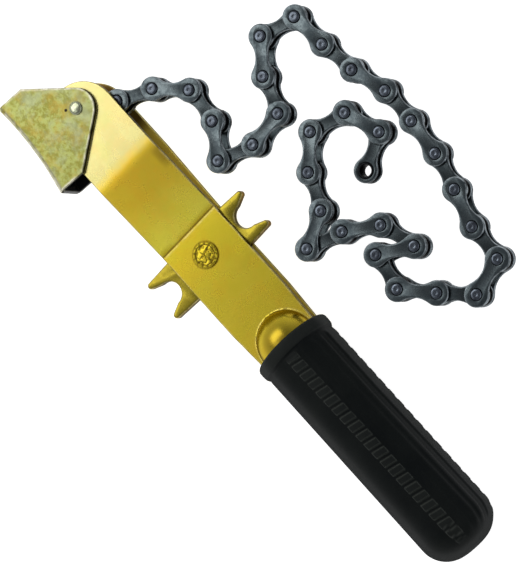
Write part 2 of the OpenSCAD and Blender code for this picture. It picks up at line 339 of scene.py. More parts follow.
def slab(top: np.ndarray, bottom: np.ndarray, bevel: float, fringe: float) -> Shape:
    """A bent sheet between two grids of points, with rounded rims all round.

    Args:
        top: rows by columns by 3 points of the outer face, drawn in from the rim by the bevel.
        bottom: the points of the inner face, in the same order.
        bevel: radius of the rims.
        fringe: width of the band on the outer face beside its rim that carries wear and painted highlight.

    Returns:
        A closed shape.
    """
    rows, cols = top.shape[:2]
    facing = np.cross(top[0, 1] - top[0, 0], top[1, 0] - top[0, 0])
    if np.dot(facing, top[0, 0] - bottom[0, 0]) < 0:
        top, bottom = top[::-1], bottom[::-1]
    index = np.arange(rows * cols).reshape(rows, cols)
    loop = np.concatenate([index[0, :-1], index[:-1, -1], index[-1, :0:-1], index[:0:-1, 0]])
    upper, lower = top.reshape(-1, 3)[loop], bottom.reshape(-1, 3)[loop]
    through = upper - lower
    through /= np.linalg.norm(through, axis=1, keepdims=True)
    out = np.cross(np.roll(upper, -1, axis=0) - np.roll(upper, 1, axis=0), through)
    out /= np.linalg.norm(out, axis=1, keepdims=True)
    turn = np.linspace(0, QUARTER, RIM_STEPS + 1)[1:]
    reach, drop = (bevel * part[:, None, None] for part in (np.sin(turn), 1 - np.cos(turn)))
    rims = np.concatenate([upper + out * reach - through * drop, (lower + out * reach + through * drop)[::-1]])
    points = np.vstack([top.reshape(-1, 3), bottom.reshape(-1, 3), rims.reshape(-1, 3)])
    size = rows * cols
    rim_index = 2 * size + np.arange(rims.shape[0] * len(loop)).reshape(-1, len(loop))
    rings = np.vstack([loop[None], rim_index, loop[None] + size])
    after = np.roll(rings, -1, axis=1)
    walls = np.stack([rings[1:], after[1:], after[:-1], rings[:-1]], axis=-1).reshape(-1, 4)
    faces = net(rows, cols)
    flat = np.zeros((2 * size, len(MASKS)))
    flat[size:, INSIDE] = 1
    outer = top.reshape(-1, 3)
    away = [np.linalg.norm(upper - point, axis=1).min() for point in outer]
    flat[:size, WEAR_AND_HIGHLIGHT] = np.clip(1 - np.array(away) / fringe, 0, 1)
    masks = np.vstack([flat, rim_masks(np.concatenate([turn, turn[::-1]]), len(loop))])
    return Shape(points, np.vstack([faces, faces[:, ::-1] + size, walls]), masks=masks)


def blended_top(a: np.ndarray, b: np.ndarray, reach: float) -> np.ndarray:
    """The higher of two heights, raised where they cross by a smooth quadratic fillet of the given reach."""
    near = np.maximum(reach - np.abs(a - b), 0) / reach
    return np.maximum(a, b) + near ** 2 * reach / 4


def bump(x: np.ndarray, width: float) -> np.ndarray:
    """A soft ridge of height 1 round x = 0 that is flat zero past half its width."""
    inside = np.clip(1 - (2 * x / width) ** 2, 0, 1)
    return inside ** 2 * (3 - 2 * inside)


@dataclass(frozen=True)
class Mark:
    """A soft line of dirt or shine: its strength from 0 to 1, and its shift and width in millimetres."""

    strength: float
    shift: float
    width: float

    def over(self, distance: np.ndarray) -> np.ndarray:
        """Strength of the mark at distances from the line that it follows."""
        return self.strength * bump(distance - self.shift, self.width)


def axes(x: tuple, y: tuple, z: tuple) -> np.ndarray:
    """Matrix that takes X, Y and Z to the three given directions."""
    return np.array([x, y, z], float).T


def spin(degrees: float) -> np.ndarray:
    """Matrix that turns round Z by an angle in degrees."""
    c, s = math.cos(math.radians(degrees)), math.sin(math.radians(degrees))
    return axes((c, s, 0), (-s, c, 0), (0, 0, 1))


def both_sides(shape: Shape) -> Shape:
    """A shape and its mirror image below the middle plane."""
    return joined([shape, shape.flipped()])


def rod(radius: float, reach: float) -> Shape:
    """A plain round rod, a reach long each way from the middle plane."""
    return revolve(np.array([(0, -reach), (radius, -reach), (radius, reach), (0, reach)]), AROUND)


# ---- The frame that carries everything ----


def linked(name: str, data: bpy.types.ID) -> bpy.types.Object:
    """A new object at the origin, linked to the scene."""
    made = bpy.data.objects.new(name, data)
    bpy.context.scene.collection.objects.link(made)
    return made


@dataclass
class Bench:
    """Turns working places into the frame's metres and puts finished pieces on their bodies.

    pivot_y is the offset of the pivot from the handle's centre line.
    """

    frame: dict
    pivot_y: float = 1.2
    origin: np.ndarray = field(init=False)
    pins: np.ndarray = field(init=False)

    def __post_init__(self) -> None:
        """Finds the working origin and the chain's pins from the frame's joints and its open eye."""
        joints = {j["name"]: j for j in self.frame["joints"]}
        self.origin = np.array(joints["shoe_pivot"]["pos_m"]) / MM - [0, self.pivot_y, 0]
        names = sorted(n for n in joints if n.startswith("chain_pivot_"))
        eye = next(m for m in self.frame["record"]["mounts"] if m["name"] == "chain_end_eye")
        places = [joints[n]["pos_m"] for n in names] + [eye["pos_m"]]
        self.pins = (np.array(places) / MM - self.origin)[:, :2]

    def place(self, points: np.ndarray) -> np.ndarray:
        """Working millimetres as the frame's metres."""
        return (points + self.origin) * MM

    def build(self, name: str, shape: Shape, finish: bpy.types.Material, sharp: float) -> bpy.types.Object:
        """Makes a mesh object whose place is in its mesh.

        Args:
            name: the piece's name.
            shape: the piece in working millimetres.
            finish: its material.
            sharp: faces that meet at more than this many degrees keep a crisp edge.

        Returns:
            The new object, linked to the scene.
        """
        mesh = bpy.data.meshes.new(name)
        faces = shape.quads.tolist() + shape.fans.tolist() + shape.caps.tolist()
        mesh.from_pydata(self.place(shape.points).tolist(), [], faces)
        smooth = np.ones(len(faces), bool)
        smooth[len(faces) - len(shape.caps):] = False
        mesh.polygons.foreach_set("use_smooth", smooth)
        for mask, values in zip(MASKS, np.clip(shape.masks.T, 0, 1).astype(np.float32)):
            mesh.attributes.new(mask, "FLOAT", "POINT").data.foreach_set("value", values)
        mesh.set_sharp_from_angle(angle=math.radians(sharp))
        mesh.materials.append(finish)
        mesh.update()
        return linked(name, mesh)

    def add(self, name: str, shape: Shape, finish: bpy.types.Material, body: str, slot: str,
            stands_for: tuple[str, ...], sharp: float = 40.0) -> None:
        """Builds a piece, rides it on a body and hides the nodes that it stands for.

        Args:
            name: the piece's name.
            shape: the piece in working millimetres.
            finish: its material.
            body: the body that it moves with.
            slot: the record's material slot of its finish; not used.
            stands_for: the nodes that it replaces.
            sharp: faces that meet at more than this many degrees keep a crisp edge.
        """
        piece = self.build(name, shape, finish, sharp)
        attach(piece, body)
        if stands_for:
            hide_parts(*stands_for)
        log.info("%s: %d points on %s", name, len(shape.points), body)


# ---- Finishes ----


class Slot(str, Enum):
    """Material slots of the record."""

    STRIP = "strip_zinc"
    SHOE = "shoe_zinc"
    CHAIN = "chain_steel"
    GRIP = "grip_rubber"


def full(colour: Colour) -> tuple[float, float, float, float]:
    """A colour with its alpha."""
    return (*colour, 1.0)


@dataclass
class Wiring:
    """A node tree with short ways to add and join nodes."""

    tree: bpy.types.NodeTree

    def node(self, kind: str, **settings: object) -> bpy.types.Node:
        """Adds a node; settings are its properties."""
        made = self.tree.nodes.new(kind)
        for key, value in settings.items():
            setattr(made, key, value)
        return made

    def put(self, target: bpy.types.NodeSocket, value: object) -> None:
        """Links a socket to another, or sets its value."""
        if isinstance(value, bpy.types.NodeSocket):
            self.tree.links.new(value, target)
        else:
            target.default_value = value

    def mask(self, name: str) -> bpy.types.NodeSocket:
        """One of the masks that the meshes carry."""
        return self.node("ShaderNodeAttribute", attribute_name=name).outputs["Fac"]

    def noise(self, where: object, scale: object, detail: float = 3.0,
              roughness: float = 0.55) -> bpy.types.NodeSocket:
        """A noise between about 0.2 and 0.8 at a place."""
        made = self.node("ShaderNodeTexNoise")
        self.put(made.inputs["Vector"], where)
        self.put(made.inputs["Scale"], scale)
        made.inputs["Detail"].default_value = detail
        made.inputs["Roughness"].default_value = roughness
        return made.outputs["Fac"]

    def math(self, operation: str, a: object, b: object, clamp: bool = False) -> bpy.types.NodeSocket:
        """A number worked out from two others."""
        made = self.node("ShaderNodeMath", operation=operation, use_clamp=clamp)
        self.put(made.inputs[0], a)
        self.put(made.inputs[1], b)
        return made.outputs[0]

    def vector(self, operation: str, a: object, b: object, result: str = "Value") -> bpy.types.NodeSocket:
        """A vector or a number worked out from two vectors."""
        made = self.node("ShaderNodeVectorMath", operation=operation)
        self.put(made.inputs[0], a)
        self.put(made.inputs[1], b)
        return made.outputs[result]

    def span(self, value: object, low: object, high: object, to_low: object = 0.0,
             to_high: object = 1.0) -> bpy.types.NodeSocket:
        """A value moved from one range to another and kept inside it."""
        made = self.node("ShaderNodeMapRange", clamp=True)
        for socket, given in zip(made.inputs, (value, low, high, to_low, to_high)):
            self.put(socket, given)
        return made.outputs[0]

    def mix(self, share: object, a: object, b: object, blend: str = "MIX") -> bpy.types.NodeSocket:
        """Two colours mixed by a share."""
        made = self.node("ShaderNodeMix", data_type="RGBA", blend_type=blend)
        self.put(made.inputs["Factor"], share)
        self.put(made.inputs["A"], a)
        self.put(made.inputs["B"], b)
        return made.outputs["Result"]

    def ramp(self, value: object, stops: tuple) -> bpy.types.NodeSocket:
        """A colour looked up along stops, which are pairs of a position and a colour."""
        made = self.node("ShaderNodeValToRGB")
        self.put(made.inputs[0], value)
        elements = made.color_ramp.elements
        for element, (position, colour) in zip(elements, (stops[0], stops[-1])):
            element.position, element.color = position, full(colour)
        for position, colour in stops[1:-1]:
            elements.new(position).color = full(colour)
        return made.outputs[0]

    def group(self, tree: bpy.types.NodeTree, **values: object) -> bpy.types.Node:
        """Places a shader group; underscores in a name stand for spaces."""
        made = self.node("ShaderNodeGroup", node_tree=tree)
        for key, value in values.items():
            self.put(made.inputs[key.replace("_", " ")], value)
        return made


def new_group(name: str, inputs: dict[str, object], *outputs: str) -> tuple[Wiring, object, object]:
    """An empty shader group on a place, with its sockets and its end nodes.

    Args:
        name: the group's name.
        inputs: default value by input name, besides Place; a number, a vector of 3 or a colour of 4.
        outputs: the names of its outputs; one called Colour is a colour and the others are numbers.

    Returns:
        The wiring of its node tree, the sockets that it is given and the sockets that it puts out.
    """
    tree = bpy.data.node_groups.new(name, "ShaderNodeTree")
    for label, value in {"Place": (0.0, 0.0, 0.0), **inputs}.items():
        size = len(value) if hasattr(value, "__len__") else 1
        socket = {1: "NodeSocketFloat", 3: "NodeSocketVector", 4: "NodeSocketColor"}[size]
        tree.interface.new_socket(label, in_out="INPUT", socket_type=socket).default_value = value
    for label in outputs:
        socket = "NodeSocketColor" if label == "Colour" else "NodeSocketFloat"
        tree.interface.new_socket(label, in_out="OUTPUT", socket_type=socket)
    given, out = tree.nodes.new("NodeGroupInput"), tree.nodes.new("NodeGroupOutput")
    return Wiring(tree), given.outputs, out.inputs


def new_material(name: str) -> tuple[bpy.types.Material, Wiring, bpy.types.Node]:
    """A material, its wiring and its shader."""
    made = bpy.data.materials.new(name)
    made.use_nodes = True
    return made, Wiring(made.node_tree), made.node_tree.nodes["Principled BSDF"]


class Groups:
    """Shader groups that several finishes share."""

    def __init__(self) -> None:
        """Builds each group once."""
        self.mottle = self._mottle()
        self.grain = self._grain()
        self.wear = self._wear()
        self.fade = self._fade()
        self.spot = self._spot()

    def _mottle(self) -> bpy.types.NodeTree:
        """Cloudy patches of two colours with a finer speckle over them."""
        defaults = {"Patch Scale": 90.0, "Speckle Scale": 900.0, "Speckle": 0.25,
                    "Light": (1.0, 1.0, 1.0, 1.0), "Dark": (0.5, 0.5, 0.5, 1.0)}
        w, given, out = new_group("mottle", defaults, "Colour", "Mask")
        clouds = w.noise(given["Place"], given["Patch Scale"], detail=4.0, roughness=0.6)
        patches = w.span(clouds, low=0.36, high=0.64)
        dots = w.noise(given["Place"], given["Speckle Scale"], detail=2.0, roughness=0.7)
        speckles = w.math("SUBTRACT", dots, 0.5)
        strength = w.math("MULTIPLY", given["Speckle"], 4.0)
        mask = w.math("ADD", patches, w.math("MULTIPLY", speckles, strength), True)
        w.put(out["Mask"], mask)
        w.put(out["Colour"], w.mix(mask, given["Dark"], given["Light"]))
        return w.tree

    def _grain(self) -> bpy.types.NodeTree:
        """Height of a fine surface grain, in metres, with long soft waves under it."""
        defaults = {"Fine Scale": 2500.0, "Fine Height": 0.00001, "Wave Scale": 60.0, "Wave Height": 0.00004}
        w, given, out = new_group("grain", defaults, "Height")
        fine, wave = (w.math("MULTIPLY", w.noise(given["Place"], given[f"{kind} Scale"], detail),
                             given[f"{kind} Height"]) for kind, detail in (("Fine", 2.0), ("Wave", 1.0)))
        w.put(out["Height"], w.math("ADD", fine, wave))
        return w.tree

    def _wear(self) -> bpy.types.NodeTree:
        """Mask of edge wear and painted highlight: the edge attribute broken up by noise."""
        w, given, out = new_group("edge_wear_and_highlight", {"Edge": 0.0, "Scale": 400.0, "Amount": 0.8}, "Mask")
        broken = w.span(w.noise(given["Place"], given["Scale"]), low=0.3, high=0.62)
        w.put(out["Mask"], w.math("MULTIPLY", w.math("MULTIPLY", given["Edge"], broken), given["Amount"], True))
        return w.tree

    def _fade(self) -> bpy.types.NodeTree:
        """Mask that grows from 0 at one place to 1 at another along a direction, with a cloudy border."""
        defaults = {"Start": (0.0, 0.0, 0.0), "Along": (1.0, 0.0, 0.0), "Cloud": 0.1}
        w, given, out = new_group("fade", defaults, "Mask")
        offset = w.vector("SUBTRACT", given["Place"], given["Start"], "Vector")
        share = w.math("DIVIDE", w.vector("DOT_PRODUCT", offset, given["Along"]),
                       w.vector("DOT_PRODUCT", given["Along"], given["Along"]))
        cloud = w.math("MULTIPLY", w.math("SUBTRACT", w.noise(given["Place"], 120.0), 0.5), given["Cloud"])
        w.put(out["Mask"], w.span(w.math("ADD", share, cloud), low=0.0, high=1.0))
        return w.tree

    def _spot(self) -> bpy.types.NodeTree:
        """Mask of a small round punch mark with a soft rim, painted dark as the shade in its dimple."""
        w, given, out = new_group("spot", {"Centre": (0.0, 0.0, 0.0), "Radius": 0.0007}, "Mask")
        away = w.vector("DISTANCE", given["Place"], given["Centre"])
        core = w.math("MULTIPLY", given["Radius"], 0.5)
        w.put(out["Mask"], w.span(away, core, given["Radius"], to_low=1.0, to_high=0.0))
        return w.tree

    def lay_grain(self, w: Wiring, shader: bpy.types.Node, fine: float, wave: float) -> None:
        """Bumps a material by the grain.

        Args:
            w: the material's wiring.
            shader: its shader.
            fine: height of the fine grain in metres.
            wave: height of the soft waves in metres.
        """
        place = w.node("ShaderNodeTexCoord").outputs["Object"]
        grain = w.group(self.grain, Place=place, Fine_Height=fine, Wave_Height=wave)
        relief = w.node("ShaderNodeBump")
        relief.inputs["Distance"].default_value = 1.0
        w.put(relief.inputs["Height"], grain.outputs["Height"])
        w.put(shader.inputs["Normal"], relief.outputs["Normal"])


@dataclass(frozen=True)
class Metal:
    """A plated or blackened steel: two mottled tones, and a tone for each mask that its meshes carry.

    The side tone paints the cut walls in shade, the inside tone of the shoe is painted shade, the darkening
    tone is nearly all painted shade, and the worn_and_lit tone is edge wear with painted highlight. The ramp
    multiplies the colour along a line and carries painted light on the strips.
    matt is how metallic the inner faces are, and grazing how much of its shine the metal keeps at its edges.
    Each stain is a scale, a strength and a tone, laid in soft clouds over the two mottled ones.
    Scales are per metre, heights in metres, places in the frame's metres and colours linear.
    """

    name: str
    light: Colour
    dark: Colour
    worn_and_lit: Colour
    side: Colour
    inside: Colour = (0.02, 0.02, 0.02)
    darkening: Colour = (0.02, 0.015, 0.01)
    ramp: tuple[tuple[float, Colour], ...] = ()
    ramp_start: Place = (0.0, 0.0, 0.0)
    ramp_along: Place = (1.0, 0.0, 0.0)
    punch: Place | None = None
    stains: tuple[tuple[float, float, Colour], ...] = ()
    rough_low: float = 0.3
    rough_high: float = 0.45
    patch_scale: float = 90.0
    speckle_scale: float = 900.0
    speckle: float = 0.25
    wear: float = 0.8
    fine_height: float = 0.000012
    wave_height: float = 0.00004
    matt: float = 0.0
    grazing: float = 0.5

    def make(self, groups: Groups) -> bpy.types.Material:
        """Builds the material.

        Args:
            groups: the shared shader groups.

        Returns:
            The material, on Object coordinates and the meshes' masks.
        """
        finish, w, shader = new_material(self.name)
        place = w.node("ShaderNodeTexCoord").outputs["Object"]
        edge, shaded_wall, inside, darkening = (w.mask(name) for name in MASKS)
        mottle = w.group(groups.mottle, Place=place, Patch_Scale=self.patch_scale, Speckle=self.speckle,
                         Speckle_Scale=self.speckle_scale, Light=full(self.light), Dark=full(self.dark))
        colour = mottle.outputs["Colour"]
        for scale, strength, tone in self.stains:
            clouds = w.noise(place, scale, detail=4.0, roughness=0.7)
            colour = w.mix(w.span(clouds, low=0.46, high=0.62, to_high=strength), colour, full(tone))
        if self.ramp:
            fade = w.group(groups.fade, Place=place, Start=self.ramp_start, Along=self.ramp_along, Cloud=0.04)
            colour = w.mix(1.0, colour, w.ramp(fade.outputs["Mask"], self.ramp), "MULTIPLY")
        # The punch mark is painted dark as shade in a dimple that the mesh doesn't have.
        if self.punch is not None:
            punch_shade = w.group(groups.spot, Place=place, Centre=self.punch).outputs["Mask"]
            darkening = w.math("MAXIMUM", darkening, punch_shade)
        worn_and_lit = w.group(groups.wear, Place=place, Edge=edge, Amount=self.wear).outputs["Mask"]
        # Cut walls take the side tone as painted shade, inner faces the inside tone, the darkening mask its
        # tone as painted shade, and edge wear its tone with painted highlight.
        for share, tone in ((shaded_wall, self.side), (inside, self.inside), (darkening, self.darkening), (worn_and_lit, self.worn_and_lit)):
            colour = w.mix(share, colour, full(tone))
        w.put(shader.inputs["Base Color"], colour)
        rough = w.span(mottle.outputs["Mask"], 0.0, 1.0, self.rough_high, self.rough_low)
        w.put(shader.inputs["Roughness"], rough)
        w.put(shader.inputs["Metallic"], w.span(inside, 0.0, 1.0, to_low=1.0, to_high=self.matt))
        shader.inputs["Specular Tint"].default_value = full((self.grazing,) * 3)
        groups.lay_grain(w, shader, self.fine_height, self.wave_height)
        return finish


@dataclass(frozen=True)
class Rubber:
    """A moulded rubber: nearly black, painted paler with highlights where its edge mask lies, round its bars,
    with a soft grain and duller seen side on.

    side_on is the span of facing, from 0 to 1, over which it grows as rough as rough_grazing.
    """

    name: str
    base: Colour = (0.0062, 0.008, 0.0084)
    dusty: Colour = (0.0105, 0.013, 0.0122)
    rub_and_highlight: Colour = (0.044, 0.049, 0.044)
    rough_low: float = 0.34
    rough_high: float = 0.46
    rough_grazing: float = 0.85
    shine: float = 0.07
    side_on: tuple[float, float] = (0.45, 0.85)
    patch_scale: float = 45.0
    speckle_scale: float = 700.0
    speckle: float = 0.12
    fine_height: float = 0.00002
    wave_height: float = 0.00003

    def make(self, groups: Groups) -> bpy.types.Material:
        """Builds the material.

        Args:
            groups: the shared shader groups.

        Returns:
            The material, on Object coordinates.
        """
        finish, w, shader = new_material(self.name)
        place = w.node("ShaderNodeTexCoord").outputs["Object"]
        mottle = w.group(groups.mottle, Place=place, Patch_Scale=self.patch_scale, Speckle=self.speckle,
                         Speckle_Scale=self.speckle_scale, Light=full(self.dusty), Dark=full(self.base))
        edge = w.mask(MASKS[WEAR_AND_HIGHLIGHT])
        w.put(shader.inputs["Base Color"], w.mix(edge, mottle.outputs["Colour"], full(self.rub_and_highlight)))
        facing = w.node("ShaderNodeLayerWeight").outputs["Facing"]
        rough = w.span(mottle.outputs["Mask"], 0.0, 1.0, self.rough_low, self.rough_high)
        w.put(shader.inputs["Roughness"], w.span(facing, *self.side_on, rough, self.rough_grazing))
        groups.lay_grain(w, shader, self.fine_height, self.wave_height)
        shader.inputs["Specular IOR Level"].default_value = self.shine
        return finish


# ---- Sub-assemblies ----


@dataclass
class Layers:
    """Heights of the layers above the middle plane of the chain, and the radius and thicknesses behind them."""

    pin_r: float = 1.8
    plate_t: float = 1.1
    inner_z: float = 1.65
    outer_z: float = 2.85
    pin_z: float = 4.35
    fork_z: float = 4.6
    mid_z: float = 1.5
    strip_t: float = 1.5
    shoe_z: float = 6.3
    shoe_t: float = 1.4
    rivet_z: float = 7.76


@dataclass
class Strips:
    """The two pressed strips of the handle, which part into a fork at the head and swell into the grip."""

    bench: Bench
    layers: Layers
    finish: bpy.types.Material
    width: float = 24.2
    head_x: float = 3.5
    fork_x: float = 24.0
    fork_bend_r: float = 30.0
    crease_x: float = 54.2
    crease_r: float = 1.0
    taper_x: float = 88.0
    tail_w: float = 22.4
    tube_x: float = 101.8
    tail_x: float = 105.6
    tube_r: float = 10.4
    tube_end: float = 181.4
    fillet: float = 0.6
    rim: float = 0.28
    fringe: float = 0.3
    columns: int = 97
    rivet: tuple[float, float] = (63.5, -0.7)
    rivet_r: float = 4.3
    # Painted shade in the crease, round the dome's foot and the rivet, past the fork's bend, over the dome and
    # inside the fork's head; a darker patch near the slope's +Y edge; painted highlight beside the crease and
    # the dome's foot.
    crease_shade: Mark = Mark(0.75, -0.1, 0.8)
    foot_shade: Mark = Mark(0.35, -0.8, 2.2)
    rivet_shade: Mark = Mark(0.45, 0.1, 0.9)
    dark_patch_along: Mark = Mark(0.5, 31.0, 9.0)
    dark_patch_across: Mark = Mark(1.0, 12.0, 7.0)
    bend_shade: float = 0.06
    bend_span: tuple[float, float, float] = (24.0, 27.0, 46.0)
    dome_shade: float = 0.2
    dome_shade_span: tuple[float, float] = (-3.0, -1.2)
    head_inside_shade: float = 0.95
    head_inside_span: tuple[float, float] = (15.0, 19.0)
    crease_highlight: Mark = Mark(0.9, 0.5, 0.7)
    foot_highlight: Mark = Mark(0.4, 0.35, 0.8)

    def slope(self) -> float:
        """Angle of the straight stretch between the fork's bend and the crease, tangent to both arcs."""
        bends = self.fork_bend_r + self.crease_r + self.layers.strip_t
        run = self.crease_x - self.fork_x
        fall = self.layers.fork_z - self.layers.mid_z - bends
        tangent = math.sqrt(run ** 2 + fall ** 2 - bends ** 2)
        return math.atan2(fall, run) + math.atan2(bends, tangent)

    def height(self, x: np.ndarray, lift: float) -> np.ndarray:
        """Side view: flat fork, round bend, straight slope, sharp round crease, flat again.

        Args:
            x: places along the strip.
            lift: distance from the inner face.

        Returns:
            Height above the middle plane.
        """
        slope = self.slope()
        bend, crease = self.fork_bend_r + lift, self.crease_r + self.layers.strip_t - lift
        bend_end = self.fork_x + bend * math.sin(slope)
        crease_start = self.crease_x - crease * math.sin(slope)
        fork = self.layers.fork_z + lift
        flat = self.layers.mid_z + lift
        down = fork - bend + np.sqrt(np.maximum(bend ** 2 - np.clip(x - self.fork_x, 0, bend) ** 2, 0))
        up = flat + crease - np.sqrt(np.maximum(crease ** 2 - np.clip(self.crease_x - x, 0, crease) ** 2, 0))
        straight = fork - bend * (1 - math.cos(slope)) - (x - bend_end) * math.tan(slope)
        return np.select([x < bend_end, x < crease_start], [down, straight], up)

    def half_width(self, x: np.ndarray) -> np.ndarray:
        """Plan: a round head, straight edges and a taper towards the grip."""
        half = self.width / 2 - self.rim
        head = np.sqrt(np.maximum(half ** 2 - np.minimum(x - self.head_x, 0) ** 2, 0))
        taper = np.interp(x, [self.taper_x, self.tail_x], [half, self.tail_w / 2 - self.rim])
        return np.where(x < self.taper_x, head, taper)

    def stations(self) -> np.ndarray:
        """Places along the strip, close together at the round head, the bends, the rivet and the dome."""
        head = self.head_x - (self.width / 2 - self.rim) * np.cos(np.radians(np.linspace(3, 90, 24)))
        crease = self.crease_x - self.crease_r * math.sin(self.slope())
        dome = self.tube_x - self.tube_r
        return np.concatenate([
            head,
            np.linspace(self.head_x, self.fork_x, 9)[1:],
            np.linspace(self.fork_x, self.fork_x + 5, 7)[1:],
            np.linspace(self.fork_x + 5, crease - 0.6, 16)[1:],
            np.linspace(crease - 0.3, self.crease_x + 0.6, 8),
            np.linspace(self.crease_x + 0.8, self.rivet[0] - 5.5, 6),
            np.linspace(self.rivet[0] - 5.2, self.rivet[0] + 5.2, 42),
            np.linspace(self.rivet[0] + 6.5, self.taper_x, 12),
            np.linspace(self.taper_x, dome - 0.8, 4)[1:],
            np.linspace(dome - 0.6, self.tail_x - 0.1, 56),
        ])

    def face(self, lift: float) -> np.ndarray:
        """One face of a strip: side view and swelling dome as a height over the plan, then the half tube.

        Args:
            lift: distance from the inner face.

        Returns:
            Rows by columns by 3 points.
        """
        across = np.sin(np.linspace(-QUARTER, QUARTER, self.columns))
        x = self.stations()[:, None] + 0 * across
        y = self.half_width(x) * across
        r = self.tube_r - self.layers.strip_t + lift
        ball = np.sqrt(np.maximum(r ** 2 - y ** 2 - np.minimum(x - self.tube_x, 0) ** 2, 0))
        z = blended_top(self.height(x, lift), ball, self.fillet)
        flange = np.stack([x, y, z], axis=-1)
        low = self.layers.mid_z
        reach = math.atan2(low, math.sqrt(r ** 2 - low ** 2))
        angle = np.linspace(math.pi - reach, reach, self.columns)
        ring = np.stack([0 * angle, r * np.cos(angle), r * np.sin(angle)], axis=-1)
        tube = [ring + [x_end, 0, 0] for x_end in (self.tail_x + 0.5, self.tube_end)]
        return np.concatenate([flange, np.array(tube)])

    def weather(self, sheet: Shape) -> None:
        """Puts painted shade, a darker patch and painted highlight lines on the strip's masks.

        Painted shade lies in the crease, round the dome's foot and the rivet and on the slope past the fork's
        bend, a darker patch lies near the slope's +Y edge, and painted highlight lines lie beside the crease
        and the dome's foot. The dome is made darker all over as painted shade, and the inner faces at the
        fork's head as painted shadow.

        Args:
            sheet: the finished strip, whose masks are changed.
        """
        x, y = sheet.points[:, 0], sheet.points[:, 1]
        outer = 1 - np.maximum(sheet.masks[:, SHADED_WALL], sheet.masks[:, INSIDE])
        foot = math.sqrt(self.tube_r ** 2 - (self.layers.mid_z + self.layers.strip_t) ** 2)
        from_foot = np.hypot(np.minimum(x - self.tube_x, 0), y) - foot
        from_rivet = np.hypot(x - self.rivet[0], y - self.rivet[1]) - self.rivet_r
        dark_share = (self.crease_shade.over(x - self.crease_x) + self.foot_shade.over(from_foot)
                + self.rivet_shade.over(from_rivet) + self.bend_shade * np.interp(x, self.bend_span, [0, 1, 0])
                + self.dark_patch_along.over(x) * self.dark_patch_across.over(y)
                + self.dome_shade * np.interp(from_foot, self.dome_shade_span, [1, 0]))
        rub_and_highlight = self.crease_highlight.over(x - self.crease_x) + self.foot_highlight.over(from_foot)
        head_inside_shaded = self.head_inside_shade * np.interp(x, self.head_inside_span, [1, 0]) * sheet.masks[:, INSIDE]
        sheet.masks[:, DARKENING] += dark_share * outer + head_inside_shaded
        sheet.masks[:, WEAR_AND_HIGHLIGHT] += rub_and_highlight * outer

    def make(self) -> None:
        """Builds the front strip and, turned over, the back one."""
        front = slab(self.face(self.layers.strip_t), self.face(0.0), self.rim, self.fringe)
        self.weather(front)
        for side, strip in (("front", front), ("back", front.flipped())):
            self.bench.add(f"handle_strip_{side}", strip, self.finish, "handle", Slot.STRIP, (f"{side}_strip",),
                           sharp=32)


